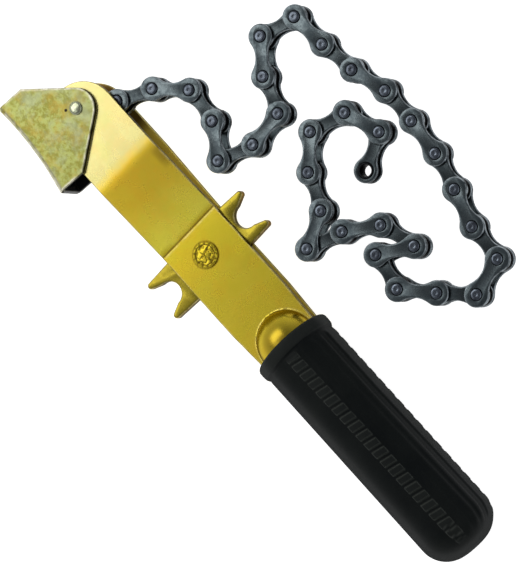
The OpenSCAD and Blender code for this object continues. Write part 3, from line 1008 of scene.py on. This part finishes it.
@dataclass
class HornPlate:
    """The cross plate between the strips, with two horns and a chain seat at each end, and its rivet."""

    bench: Bench
    layers: Layers
    finish: bpy.types.Material
    rivet_finish: bpy.types.Material
    x: float = 63.5
    y: float = -0.7
    width: float = 16.2
    strip_half: float = 12.1
    reach: float = 9.9
    seat_r: float = 3.9
    seat_y: float = 17.8
    tip_r: float = 1.15
    tip_span: float = 12.8
    rim: float = 0.45
    shank_r: float = 2.5
    head_r: float = 4.3
    head_h: float = 1.0
    head_steps: int = 144
    groove_turns: tuple[float, float] = (16.0, 106.0)
    groove_pitch: float = 2.1
    groove_shift: float = 0.35
    groove_w: float = 0.9
    groove_depth: float = 0.24
    notches: int = 13
    notch_depth: float = 0.16
    # Painted shade in the rivet head's grooves, notches and ring.
    groove_shade: float = 0.45
    notch_shade: float = 0.55
    ring_shade: float = 0.4
    tip_shade: float = 0.8

    def outline(self) -> np.ndarray:
        """The plate's outline: two tips and the seat between them, and the same again turned by 180 degrees."""
        tip_y = self.strip_half + self.reach - self.tip_r
        tip_x = self.tip_span / 2
        start = math.degrees(math.atan2(tip_y - self.seat_y, tip_x - self.tip_r - self.seat_r)) - 90
        near_tip = arc((tip_x, tip_y), self.tip_r, 0, 180 + start / 2, 9)
        seat = arc((0, self.seat_y), self.seat_r, 0, -180, 20)
        far_tip = arc((-tip_x, tip_y), self.tip_r, -start / 2, 180, 9)
        edges = np.linspace(self.strip_half, -self.strip_half, 3)[:, None]
        side = np.concatenate([np.full_like(edges, -self.width / 2), edges], axis=1)
        half = np.vstack([near_tip, seat, far_tip, side[:-1]])
        loop = np.vstack([half, -half])
        return loop + [self.x, self.y]

    def head(self) -> Shape:
        """A rivet head with a notched rim round a low dome that is staked with crossing grooves, with painted
        shade in the grooves, the notches and the ring inside the rim, and round its foot.
        """
        r, h = self.head_r, self.head_h
        edge = rounded([(0, -0.2, 0), (r - 0.25, -0.2, 0), (r, 0, 0.1), (r, 0.6 * h, 0.35), (r - 0.75, h, 0.3),
                        (r - 1.05, 0.66 * h, 0.15)], 6)
        radius = np.linspace(r - 1.15, 0, 24)
        dome = np.stack([radius, h * (0.62 + 0.3 * np.cos(radius / r * QUARTER))], axis=-1)
        profile = np.vstack([edge, dome])
        angle = 2 * math.pi * np.arange(self.head_steps) / self.head_steps
        out, above = profile[:, :1], profile[:, 1:] > 0
        pits = 0.0
        for turn in self.groove_turns:
            across = out * np.cos(angle - math.radians(turn)) + self.groove_shift
            pits = pits + bump((across + self.groove_pitch / 2) % self.groove_pitch - self.groove_pitch / 2,
                               self.groove_w)
        uneven = 0.6 + 0.4 * np.cos(1.9 * out + 5 * angle)
        pits = np.minimum(pits, 1) * (out < r - 1.15) * above * uneven
        notches = bump(out - (r - 0.5), 1.5) * np.maximum(np.cos(self.notches * angle), 0) ** 2 * above
        ring = bump(out - (r - 1.1), 0.7) * above
        # Painted shade where the head meets the strip.
        foot = np.interp(profile[:, 1:], [0.1, 0.35], [0.9, 0]) + 0 * angle
        dark_share = self.groove_shade * pits + self.notch_shade * notches + self.ring_shade * ring + foot
        wave = -self.groove_depth * pits - self.notch_depth * notches
        return revolve(profile, self.head_steps, wave, np.clip(dark_share, 0, 1))

    def make(self) -> None:
        """Builds the plate and the rivet that holds it between the strips."""
        loops = [self.outline(), hole((self.x, self.y), self.shank_r)]
        body = plate(loops, -self.layers.mid_z, self.layers.mid_z, self.rim, 3)
        end = self.strip_half + self.reach
        # The rims at the horn tips are painted dark as shade.
        tips = np.interp(np.abs(body.points[:, 1] - self.y), [end - 1.8, end - 0.6], [0, self.tip_shade])
        body.masks[:, DARKENING] = tips * (body.masks[:, SHADED_WALL] > 0)
        self.bench.add("cross_plate", body, self.finish, "handle", Slot.STRIP, ("horn_plate",), sharp=50)
        top = self.layers.mid_z + self.layers.strip_t
        head = self.head().at(self.x, self.y, top)
        rivet = joined([both_sides(head), rod(self.shank_r, top).at(self.x, self.y)])
        self.bench.add("cross_plate_rivet", rivet, self.rivet_finish, "handle", Slot.STRIP, ("centre_rivet",))


@dataclass
class Shoe:
    """The filter shoe: one sheet folded into a U, hollow along its bearing face, turning on the pivot rivet."""

    bench: Bench
    layers: Layers
    finish: bpy.types.Material
    rivet_finish: bpy.types.Material
    chain_finish: bpy.types.Material
    half: float = 17.5
    drop: float = 21.8
    sagitta: float = 1.3
    shoulder: float = 11.4
    apex_r: float = 6.5
    angle: float = -5.0
    fold_r: float = 2.0
    rim: float = 0.3
    fringe: float = 0.7
    head_r: float = 2.2
    head_h: float = 0.85
    washer_r: float = 4.0
    rows: int = 61
    side_steps: int = 34
    fold_steps: int = 6
    web_steps: int = 7
    # Painted shade on the fold and the web.
    web_shade: float = 0.6

    def upper_edge(self, x: np.ndarray) -> np.ndarray:
        """A side plate's outline away from the fold: a round apex and a straight edge to each shoulder."""
        far = math.hypot(self.half, self.shoulder)
        lean = math.atan2(-self.shoulder, self.half) + math.acos(self.apex_r / far)
        touch_x, touch_y = self.apex_r * math.cos(lean), self.apex_r * math.sin(lean)
        fall = (touch_y + self.shoulder) / (self.half - touch_x)
        top = np.sqrt(np.maximum(self.apex_r ** 2 - np.minimum(np.abs(x), self.apex_r) ** 2, 0))
        return np.where(np.abs(x) < touch_x, top, touch_y - fall * (np.abs(x) - touch_x)) - self.rim

    def face(self, depth: float) -> np.ndarray:
        """One face of the folded sheet: rows along the shoe, and columns down a side, across and up again.

        Args:
            depth: distance below the outer face.

        Returns:
            Rows by columns by 3 points.
        """
        web_r = (self.half ** 2 + self.sagitta ** 2) / (2 * self.sagitta)
        x = (self.half - self.rim) * np.sin(np.linspace(-QUARTER, QUARTER, self.rows))[:, None]
        web = self.sagitta - self.drop - web_r + np.sqrt((web_r + depth) ** 2 - x ** 2)
        corner_y = web + self.fold_r - depth
        side_z = self.layers.shoe_z + self.layers.shoe_t - depth
        inner_z = side_z - (self.fold_r - depth)
        down = 0.5 + 0.5 * np.cos(np.linspace(0, math.pi, self.side_steps))[None]
        side_y = corner_y + (self.upper_edge(x) - corner_y) * down
        turn = np.linspace(0, QUARTER, self.fold_steps + 1)[None, 1:]
        fold_y = corner_y - (self.fold_r - depth) * np.sin(turn)
        fold_z = inner_z + (self.fold_r - depth) * np.cos(turn) + 0 * x
        across = np.linspace(1, 0, self.web_steps + 1)[None, 1:]
        web_y, web_z = web + 0 * across, inner_z * across + 0 * x
        y = np.concatenate([side_y, fold_y, web_y], axis=1)
        z = np.concatenate([side_z + 0 * side_y, fold_z, web_z], axis=1)
        y = np.concatenate([y, y[:, -2::-1]], axis=1)
        z = np.concatenate([z, -z[:, -2::-1]], axis=1)
        return np.stack([x + 0 * y, y, z], axis=-1)

    def rivet_head(self) -> Shape:
        """A low dome on a short straight rim, with painted shade round its foot."""
        r, h = self.head_r, self.head_h
        crown = arc((0, 0), 1, 8, 90, 9) * [r, 0.72 * h] + [0, 0.28 * h]
        crown[-1, 0] = 0
        profile = np.vstack([[(0, -0.2), (r - 0.1, -0.2), (r, 0)], crown])
        return revolve(profile, 40, darkening=np.interp(profile[:, 1:], [0.12, 0.4], [0.9, 0]))

    def make(self) -> None:
        """Builds the shoe on its own body and its rivet and washers on the handle."""
        pivot_y, r = self.bench.pivot_y, self.layers.pin_r
        sheet = slab(self.face(0.0), self.face(self.layers.shoe_t), self.rim, self.fringe)
        side, fold = np.zeros(self.side_steps), np.linspace(0, 1, self.fold_steps + 1)[1:]
        # The fold carries a painted highlight where it starts to turn, and painted shade as it turns away and
        # across the web.
        shine = np.concatenate([side, np.sin(math.pi * fold), np.zeros(self.web_steps)])
        fold_shade = np.concatenate([side, fold ** 3, np.ones(self.web_steps)])
        for mask, line in ((WEAR_AND_HIGHLIGHT, shine), (DARKENING, self.web_shade * fold_shade)):
            both = np.tile(np.concatenate([line, line[-2::-1]]), self.rows)
            sheet.masks[:len(both), mask] = np.maximum(sheet.masks[:len(both), mask], both)
        # The far plate's cut rim is painted as black as the inside, as shade in the U, and loses its highlight.
        rim = (sheet.masks[:, SHADED_WALL] > 0) & (sheet.points[:, 2] < self.layers.shoe_z - 1)
        sheet.masks[rim, INSIDE] = 1
        sheet.masks[rim, WEAR_AND_HIGHLIGHT] = 0
        sheet = sheet.moved(spin(self.angle), (0, pivot_y, 0))
        self.bench.add("filter_shoe", sheet, self.finish, "shoe", Slot.SHOE, ("shoe",), sharp=35)
        head = self.rivet_head().at(0, pivot_y, self.layers.rivet_z)
        rivet = joined([both_sides(head), rod(r, self.layers.rivet_z).at(0, pivot_y)])
        self.bench.add("shoe_rivet", rivet, self.rivet_finish, "handle", Slot.SHOE, ("pivot_rivet",))
        low, high = self.layers.outer_z + self.layers.plate_t + 0.05, self.layers.fork_z
        washer = plate([arc((0, 0), self.washer_r, 0, 354, 59), hole((0, 0), r)], low, high, 0.15)
        washers = both_sides(washer).at(0, pivot_y)
        self.bench.add("rivet_washers", washers, self.chain_finish, "handle", Slot.CHAIN, ("pivot_washers",))


@dataclass
class Chain:
    """The half-inch roller chain: outer plates on pins, and inner plates on bushes with rollers, in turn."""

    bench: Bench
    layers: Layers
    plate_finish: bpy.types.Material
    pin_finish: bpy.types.Material
    roller_finish: bpy.types.Material
    pitch: float = 12.7
    plate_r: float = 4.0
    waist: float = 2.1
    bush_r: float = 2.5
    roller_r: float = 3.875
    bore_r: float = 1.85
    play: float = 0.05
    anchor_play: float = 0.06
    rim: float = 0.4
    bush_rim: float = 0.15
    roller_rim: float = 0.3
    # Painted shade on the inner plates.
    inner_shade: float = 0.4

    def outline(self) -> np.ndarray:
        """A plate's outline: two round ends and a waist of two hollow arcs that meet them tangent."""
        lean = self.plate_r - self.waist
        arc_y = ((self.pitch / 2) ** 2 - lean ** 2) / (2 * lean)
        waist_r = arc_y - self.waist
        touch = math.degrees(math.atan2(arc_y, self.pitch / 2))
        end = arc((self.pitch / 2, 0), self.plate_r, touch - 180, 180 - touch, 20)
        sweep = 90 - touch
        top = arc((0, arc_y), waist_r, -90 + sweep, -90 - sweep, 8)[1:-1]
        half = np.vstack([end, top])
        return np.vstack([half, -half])

    def plates(self, z: float, holes: tuple[float, float]) -> Shape:
        """The two plates of a link.

        Args:
            z: height of a plate's inner face.
            holes: radius of the hole at each end.

        Returns:
            Both plates, round the middle of the link and along X.
        """
        bores = [hole((side * self.pitch / 2, 0), r) for side, r in zip((-1, 1), holes)]
        upper = plate([self.outline(), *bores], z, z + self.layers.plate_t, self.rim, 3)
        return both_sides(upper)

    def pin(self) -> Shape:
        """A pin with a riveted button at each end, with painted shade where it leaves the plate."""
        r, z = self.layers.pin_r, self.layers.pin_z
        head = rounded([(r, 0, 0), (r, z - 0.2, 0.15), (r - 0.45, z, 0.3), (0.5, z, 0.2), (0.3, z - 0.08, 0.1),
                        (0, z - 0.08, 0)], 4)
        profile = np.vstack([(head * [1, -1])[::-1], head[1:]])
        dark_share = np.interp(np.abs(profile[:, 1]), [z - 0.3, z - 0.1], [1, 0]) * (profile[:, 0] > r - 0.1)
        return revolve(profile, 36, darkening=dark_share[:, None])

    def tube(self, r: float, bore: float, z: float, rim: float) -> Shape:
        """A bush or roller: a ring with rounded ends."""
        corners = [(bore, 0, 0), (bore, -z, rim), (r, -z, rim), (r, z, rim), (bore, z, rim), (bore, 0, 0)]
        return revolve(rounded(corners, 3), AROUND)

    def at_link(self, k: int, shape: Shape) -> Shape:
        """A shape drawn round a link's middle, put between pins k and k + 1."""
        a, b = self.bench.pins[k], self.bench.pins[k + 1]
        heading = math.degrees(math.atan2(*(b - a)[::-1]))
        return shape.moved(spin(heading), (*(a + b) / 2, 0))

    def at_ends(self, shape: Shape, ends: tuple[int, ...] = (-1, 1)) -> Shape:
        """A shape drawn round Z, put at one or both ends of a link."""
        return joined([shape.at(side * self.pitch / 2, 0) for side in ends])

    def make(self) -> None:
        """Builds every link on its own body, and the bush and roller round the pivot rivet on the handle."""
        layers, reach = self.layers, self.layers.outer_z - self.play
        bush = self.at_ends(self.tube(self.bush_r, self.bore_r, reach, self.bush_rim))
        roller = self.tube(self.roller_r, self.bush_r + self.play, layers.inner_z - self.play, self.roller_rim)
        roller = self.at_ends(roller)
        inner = self.plates(layers.inner_z, (self.bush_r, self.bush_r))
        # The inner plates, lower between the outer ones, are painted darker as shade.
        inner.masks[:, DARKENING] = self.inner_shade
        for k in range(len(self.bench.pins) - 1):
            if k % 2:
                pieces = (("inner_plates", inner, self.plate_finish, "inner_link"),
                          ("bushes", bush, self.roller_finish, None),
                          ("link_rollers", roller, self.roller_finish, "rollers"))
            else:
                first_hole = layers.pin_r + (0 if k else self.anchor_play)
                outer = self.plates(layers.outer_z, (first_hole, layers.pin_r))
                pins = self.at_ends(self.pin(), (-1, 1) if k else (1,))
                pieces = (("outer_plates", outer, self.plate_finish, "outer_link"),
                          ("pins", pins, self.pin_finish, None))
            number = f"{k // 2 + 1:02d}"
            for name, shape, finish, node in pieces:
                stands_for = (f"{node}_{number}",) if node else ()
                self.bench.add(f"{name}_{number}", self.at_link(k, shape), finish, f"link_{k + 1:02d}",
                               Slot.CHAIN, stands_for)
        for name, r, bore, rim in (("bush", self.bush_r, layers.pin_r, self.bush_rim),
                                   ("roller", self.roller_r, self.bush_r + self.play, self.roller_rim)):
            shape = self.tube(r, bore, reach, rim).at(0, self.bench.pivot_y)
            self.bench.add(f"first_{name}", shape, self.roller_finish, "handle", Slot.CHAIN,
                           (f"anchor_{name}",))


@dataclass
class Grip:
    """The moulded rubber grip: a collar, long ribs and two bands of short cross bars."""

    bench: Bench
    layers: Layers
    finish: bpy.types.Material
    x: float = 102.6
    length: float = 86.0
    r: float = 13.0
    end_r: float = 12.9
    collar_r: float = 13.85
    collar_l: float = 4.5
    end_round: float = 9.5
    bore: float = 10.45
    mouth_r: float = 12.2
    mouth_l: float = 3.05
    cap: float = 6.0
    bar_pitch: float = 3.68
    bar_angle: tuple[float, float] = (2.5, 8.0)
    bar_span: float = 20.0
    side_pitch: float = 4.4
    side_angle: float = 100.0
    bar_share: float = 0.64
    bar_height: float = 0.6
    bar_skew: float = 0.05
    side_width: float = 34.0
    side_share: float = 0.6
    side_height: float = 0.18
    rib_angles: tuple[float, ...] = (23.0, 39.0, 52.0, 70.0)
    rib_heights: tuple[float, ...] = (0.16, 0.16, 0.18, 0.3)
    rib_width: float = 10.0
    rib_drift: float = 7.0
    fade_in: float = 1.5
    fade_out: float = 2.0
    flank: float = 0.16
    # Painted glints on the bars' rims, painted sheen on the bar tops and side bumps, and a paler collar.
    rim_flank: float = 0.4
    rim_glint: float = 3.6
    bar_sheen: float = 0.2
    side_sheen: float = 0.3
    collar_paler: float = 0.35

    def make(self) -> None:
        """Builds the grip round the tail of the strips."""
        s = np.linspace(self.collar_l + 1.2, self.length - self.end_round - 0.1, 400)
        body_r = np.interp(s, [self.collar_l, self.length - 2 * self.end_round], [self.r, self.end_r])
        collar_r, collar_l = self.collar_r, self.collar_l
        front = rounded([(self.mouth_r, 0, 0), (collar_r - 0.2, 0, 1.1), (collar_r, collar_l / 2, 1.4),
                         (collar_r - 0.3, collar_l - 0.4, 0.8), (self.r - 0.15, collar_l + 0.1, 0.5),
                         (self.r, collar_l + 1.1, 0)], 5)
        tail = arc((self.end_r - self.end_round, self.length - self.end_round), self.end_round, 0, 90, 24)
        inside = np.array([(0, self.length - self.cap), (self.bore, self.length - self.cap),
                           (self.bore, self.mouth_l), (self.mouth_r, self.mouth_l)])
        body = np.stack([body_r, s], axis=-1)
        profile = np.vstack([inside, front, body, tail, [(0, self.length)]])
        shape = self._relief(profile)
        turned = shape.moved(axes((0, 0, -1), (0, 1, 0), (1, 0, 0)), (self.x, 0, 0))
        self.bench.add("rubber_grip", turned, self.finish, "handle", Slot.GRIP, ("grip",), sharp=60)

    def _relief(self, profile: np.ndarray) -> Shape:
        """The revolved profile with its ribs and bars raised on the outside.

        Angle 0 points to +Z in the finished place and grows towards +Y, so the stored side is at 90 degrees.
        The mesh is finer where the bars lie; the bars' rims carry painted glints, the bar tops and the side
        bumps painted sheen, and the collar is painted paler.

        Args:
            profile: radius and place along the grip for each row.

        Returns:
            The grip, standing on its mouth.
        """
        spans = ((-14, 20, 42), (20, 112, 62), (112, 346, 60))
        around = np.concatenate([np.linspace(start, end, count, endpoint=False) for start, end, count in spans])
        shape = revolve(profile, np.radians(180 - around[::-1]))
        rows, steps = len(profile) - 2, len(around)
        grid = shape.points[:rows * steps].reshape(rows, steps, 3)
        s = profile[1:-1, 1][:, None]
        out = np.linalg.norm(grid[..., :2], axis=-1)
        angle = np.degrees(np.arctan2(grid[..., 1], -grid[..., 0]))
        outside = (out > self.end_r - self.end_round / 2) & (s > self.collar_l + 0.1)
        ends = (self.collar_l + 1.0, self.length - 2.5)
        along = np.clip((s - ends[0]) / self.fade_in, 0, 1) * np.clip((ends[1] - s) / self.fade_out, 0, 1)
        band = np.interp(s, ends, self.bar_angle)
        drift = self.rib_drift * np.interp(s, (30, self.length), (0, 1))
        ribs = sum(bump(angle - drift - a, self.rib_width) * h
                   for a, h in zip(self.rib_angles, self.rib_heights))
        inside = np.clip((self.bar_span / 2 - np.abs(angle - band)) / 1.6, 0, 1)
        lean = s - self.bar_skew * (angle - band)
        bars, soft = (inside * self._comb(lean, self.bar_pitch, self.bar_share, flank)
                      for flank in (self.flank, self.rim_flank))
        side = bump(angle - self.side_angle, self.side_width) ** 0.5
        side = side * self._comb(s, self.side_pitch, self.side_share, self.flank)
        rise = along * outside * (ribs + self.bar_height * bars + self.side_height * side)
        # Painted glints and sheen on the bars and side bumps, and a paler collar.
        rub_and_highlight = self.rim_glint * soft * (1 - soft) + self.bar_sheen * bars + self.side_sheen * side
        collar = self.collar_paler * (out > self.r + 0.3)
        shape.masks[:rows * steps, WEAR_AND_HIGHLIGHT] = (along * outside * rub_and_highlight + collar).ravel()
        scale = 1 + rise / np.maximum(out, 1e-6)
        grid[..., 0] *= scale
        grid[..., 1] *= scale
        return shape

    def _comb(self, s: np.ndarray, pitch: float, share: float, soft: float) -> np.ndarray:
        """A row of flat-topped bars along s.

        Args:
            s: places along the grip.
            pitch: distance from bar to bar.
            share: part of each pitch that a bar fills.
            soft: width of a bar's flanks, in half pitches.

        Returns:
            Height at each place, from 0 between the bars to 1 on them.
        """
        phase = np.abs((s - self.collar_l) / pitch % 1 - 0.5) * 2
        return np.clip((share - phase) / soft + 0.5, 0, 1)


# ---- Studio ----


@dataclass
class Studio:
    """A pale floor, soft lamps and the camera."""

    bench: Bench
    target: Place = (81.907, 5.175, 0.0)
    distance: float = 871.94
    azimuth: float = 47.340
    tilt: float = 20.127
    roll: float = 136.007
    sensor: float = 36.0
    lens: float = 191.78
    floor_size: float = 6.0
    floor_glow: float = 0.88
    horizon: Colour = (0.85, 0.85, 0.85)
    overhead: Colour = (0.17, 0.17, 0.18)
    dim: Colour = (0.22, 0.23, 0.25)
    dim_towards: Place = (0.73, 0.68, 0.0)

    def camera(self) -> None:
        """A long lens looking down at the handle, with the head at the upper left."""
        a, t, r = (math.radians(v) for v in (self.azimuth, self.tilt, self.roll))
        back = Vector((math.sin(t) * math.cos(a), math.sin(t) * math.sin(a), math.cos(t)))
        right = Vector((math.cos(r), math.sin(r), 0)).cross(back).normalized()
        up = back.cross(right)
        data = bpy.data.cameras.new("view")
        data.sensor_fit = "HORIZONTAL"
        data.sensor_width = self.sensor
        data.lens = self.lens
        data.clip_start = 0.01
        data.clip_end = 50
        eye = linked("view", data)
        turn = Matrix((right, up, back)).transposed().to_4x4()
        target = Vector(self.bench.place(np.array([self.target]))[0])
        eye.matrix_world = Matrix.Translation(target + self.distance * MM * back) @ turn
        bpy.context.scene.camera = eye

    def floor(self) -> None:
        """A wide matt plane that stays white to the camera and still takes the object's shadow."""
        half = self.floor_size / 2
        mesh = bpy.data.meshes.new("floor")
        corners = [(-half, -half, 0), (half, -half, 0), (half, half, 0), (-half, half, 0)]
        mesh.from_pydata(corners, [], [(0, 1, 2, 3)])
        floor = linked("floor", mesh)
        finish, w, shader = new_material("floor_white")
        shader.inputs["Base Color"].default_value = (0.8, 0.8, 0.8, 1)
        shader.inputs["Roughness"].default_value = 0.9
        path = w.node("ShaderNodeLightPath")
        seen = w.math("MAXIMUM", path.outputs["Is Camera Ray"], path.outputs["Is Glossy Ray"])
        seen = w.math("MAXIMUM", seen, path.outputs["Is Transmission Ray"])
        shader.inputs["Emission Color"].default_value = (1, 1, 1, 1)
        w.put(shader.inputs["Emission Strength"], w.math("MULTIPLY", seen, self.floor_glow))
        mesh.materials.append(finish)

    def lamp(self, name: str, at: Place, aim: Place, size: tuple[float, float], watts: float,
             colour: Colour) -> None:
        """A rectangular soft lamp.

        Args:
            name: its name.
            at: its middle, in working millimetres.
            aim: the point it faces, in working millimetres.
            size: width and height in metres.
            watts: its power.
            colour: its colour.
        """
        data = bpy.data.lights.new(name, "AREA")
        data.shape = "RECTANGLE"
        data.size, data.size_y = size
        data.energy = watts
        data.color = colour
        lamp = linked(name, data)
        start, end = (Vector(self.bench.place(np.array([p]))[0]) for p in (at, aim))
        turn = (end - start).to_track_quat("-Z", "Y").to_matrix().to_4x4()
        lamp.matrix_world = Matrix.Translation(start) @ turn

    def sky(self) -> None:
        """An even pale surround, a little darker overhead and dim beyond the stored chain."""
        world = bpy.data.worlds.new("surround")
        bpy.context.scene.world = world
        world.use_nodes = True
        w = Wiring(world.node_tree)
        direction = w.node("ShaderNodeTexCoord").outputs["Generated"]
        height = w.node("ShaderNodeSeparateXYZ")
        w.put(height.inputs[0], direction)
        up = w.span(height.outputs["Z"], low=0.05, high=0.85)
        even = w.mix(up, full(self.horizon), full(self.overhead))
        beyond = w.span(w.vector("DOT_PRODUCT", direction, self.dim_towards), low=0.1, high=0.8)
        background = world.node_tree.nodes["Background"]
        w.put(background.inputs["Color"], w.mix(beyond, even, full(self.dim)))

    def make(self) -> None:
        """Sets up the view, the floor and the light."""
        self.camera()
        self.floor()
        self.sky()
        for lamp in (("window", (-370, -150, 600), (-370, -150, 0), (0.42, 0.6), 1.65, (1.0, 0.99, 0.97)),
                     ("low_panel", (-40, -300, 600), (-40, -300, 0), (0.18, 0.3), 0.125, (1.0, 1.0, 1.0)),
                     ("fill", (420, 300, 520), (80, 20, 0), (0.5, 0.5), 0.42, (1.0, 1.0, 1.0))):
            self.lamp(*lamp)
        bpy.context.scene.view_settings.view_transform = "Standard"


# ---- Everything in order ----


def finishes(bench: Bench, layers: Layers) -> list[bpy.types.Material]:
    """The materials: strips, horn plate, shoe, pivot rivet, chain plates, chain pins, rollers and rubber.

    Args:
        bench: turns the places of the strips' colours into the frame's metres.
        layers: gives the height of the shoe's punch mark.

    Returns:
        The materials in that order.
    """
    groups = Groups()
    start, end = -12.0, 108.0
    head, tail = bench.place(np.array([(start, 0, 0), (end, 0, 0)]))
    # Colour along the strips: pale cream at the fork as a painted reflection, lighter just before the crease as
    # a painted highlight, and the zinc's own yellow elsewhere.
    along = ((start, (0.66, 0.62, 0.29)), (21.5, (0.65, 0.59, 0.24)), (25.5, (0.82, 0.58, 0.048)),
             (36, (0.82, 0.6, 0.049)), (52, (1.0, 0.88, 0.1)), (54, (0.7, 0.56, 0.037)),
             (75, (0.59, 0.475, 0.038)), (end, (0.6, 0.46, 0.04)))
    ramp = tuple(((x - start) / (end - start), colour) for x, colour in along)
    punch = bench.place(np.array([(-2.0, -1.8, layers.shoe_z + layers.shoe_t)]))[0]
    strip = Metal("yellow_zinc", light=(1.03, 1.03, 1.03), dark=(0.95, 0.94, 0.92), worn_and_lit=(0.9, 0.76, 0.3),
                  side=(0.06, 0.045, 0.01), inside=(0.85, 0.68, 0.12), darkening=(0.2, 0.11, 0.02),
                  stains=((85.0, 0.5, (0.95, 0.97, 0.75)), (140.0, 0.45, (1.06, 0.9, 0.8))),
                  ramp=ramp, ramp_start=tuple(head), ramp_along=tuple(tail - head), rough_low=0.24,
                  rough_high=0.3, patch_scale=60.0, speckle=0.12, fine_height=0.000003, matt=0.4)
    horn = replace(strip, name="horn_zinc", light=(0.42, 0.34, 0.035), dark=(0.32, 0.25, 0.025), ramp=(),
                   worn_and_lit=(0.8, 0.68, 0.3), speckle=0.4, stains=())
    # The shoe's inside tone is near black, painted shade inside the U.
    shoe = Metal("olive_zinc", light=(0.385, 0.415, 0.13), dark=(0.32, 0.315, 0.07), worn_and_lit=(0.82, 0.79, 0.66),
                 side=(0.03, 0.028, 0.02), inside=(0.006, 0.006, 0.008), darkening=(0.03, 0.025, 0.02),
                 stains=((150.0, 0.75, (0.43, 0.33, 0.07)), (95.0, 0.7, (0.39, 0.43, 0.24))),
                 punch=tuple(punch), rough_low=0.36, rough_high=0.46, patch_scale=340.0,
                 speckle_scale=1000.0, speckle=1.0, wear=1.0)
    rivet = replace(shoe, name="rivet_zinc", light=(0.6, 0.64, 0.45), dark=(0.45, 0.48, 0.32), punch=None,
                    stains=(), rough_low=0.2, rough_high=0.28)
    plates = Metal("blackened_plate", light=(0.14, 0.17, 0.18), dark=(0.075, 0.095, 0.105),
                   worn_and_lit=(0.55, 0.62, 0.66), side=(0.006, 0.006, 0.008), darkening=(0.01, 0.012, 0.012),
                   rough_low=0.24, rough_high=0.34, patch_scale=160.0, speckle=0.6, wear=0.9)
    pins = Metal("blackened_pin", light=(0.17, 0.2, 0.24), dark=(0.07, 0.08, 0.1), worn_and_lit=(0.4, 0.42, 0.5),
                 side=(0.02, 0.02, 0.03), darkening=(0.003, 0.003, 0.004), rough_low=0.2, rough_high=0.3,
                 patch_scale=400.0)
    rollers = Metal("blackened_roller", light=(0.02, 0.022, 0.024), dark=(0.01, 0.01, 0.012),
                    worn_and_lit=(0.2, 0.2, 0.22), side=(0.01, 0.01, 0.01), rough_low=0.25, rough_high=0.35,
                    grazing=0.3)
    rubber = Rubber("black_rubber")
    return [kind.make(groups) for kind in (strip, horn, shoe, rivet, plates, pins, rollers, rubber)]


def main() -> None:
    """Loads the frame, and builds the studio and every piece."""
    logging.basicConfig(level=logging.INFO, format="%(name)s: %(message)s")
    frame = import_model()
    bench = Bench(frame)
    layers = Layers()
    strip, horn, shoe, rivet, plates, pins, rollers, rubber = finishes(bench, layers)
    Studio(bench).make()
    Strips(bench, layers, strip).make()
    HornPlate(bench, layers, horn, strip).make()
    Shoe(bench, layers, shoe, rivet, rollers).make()
    Chain(bench, layers, plates, pins, rollers).make()
    Grip(bench, layers, rubber).make()


if __name__ == "__main__":
    main()
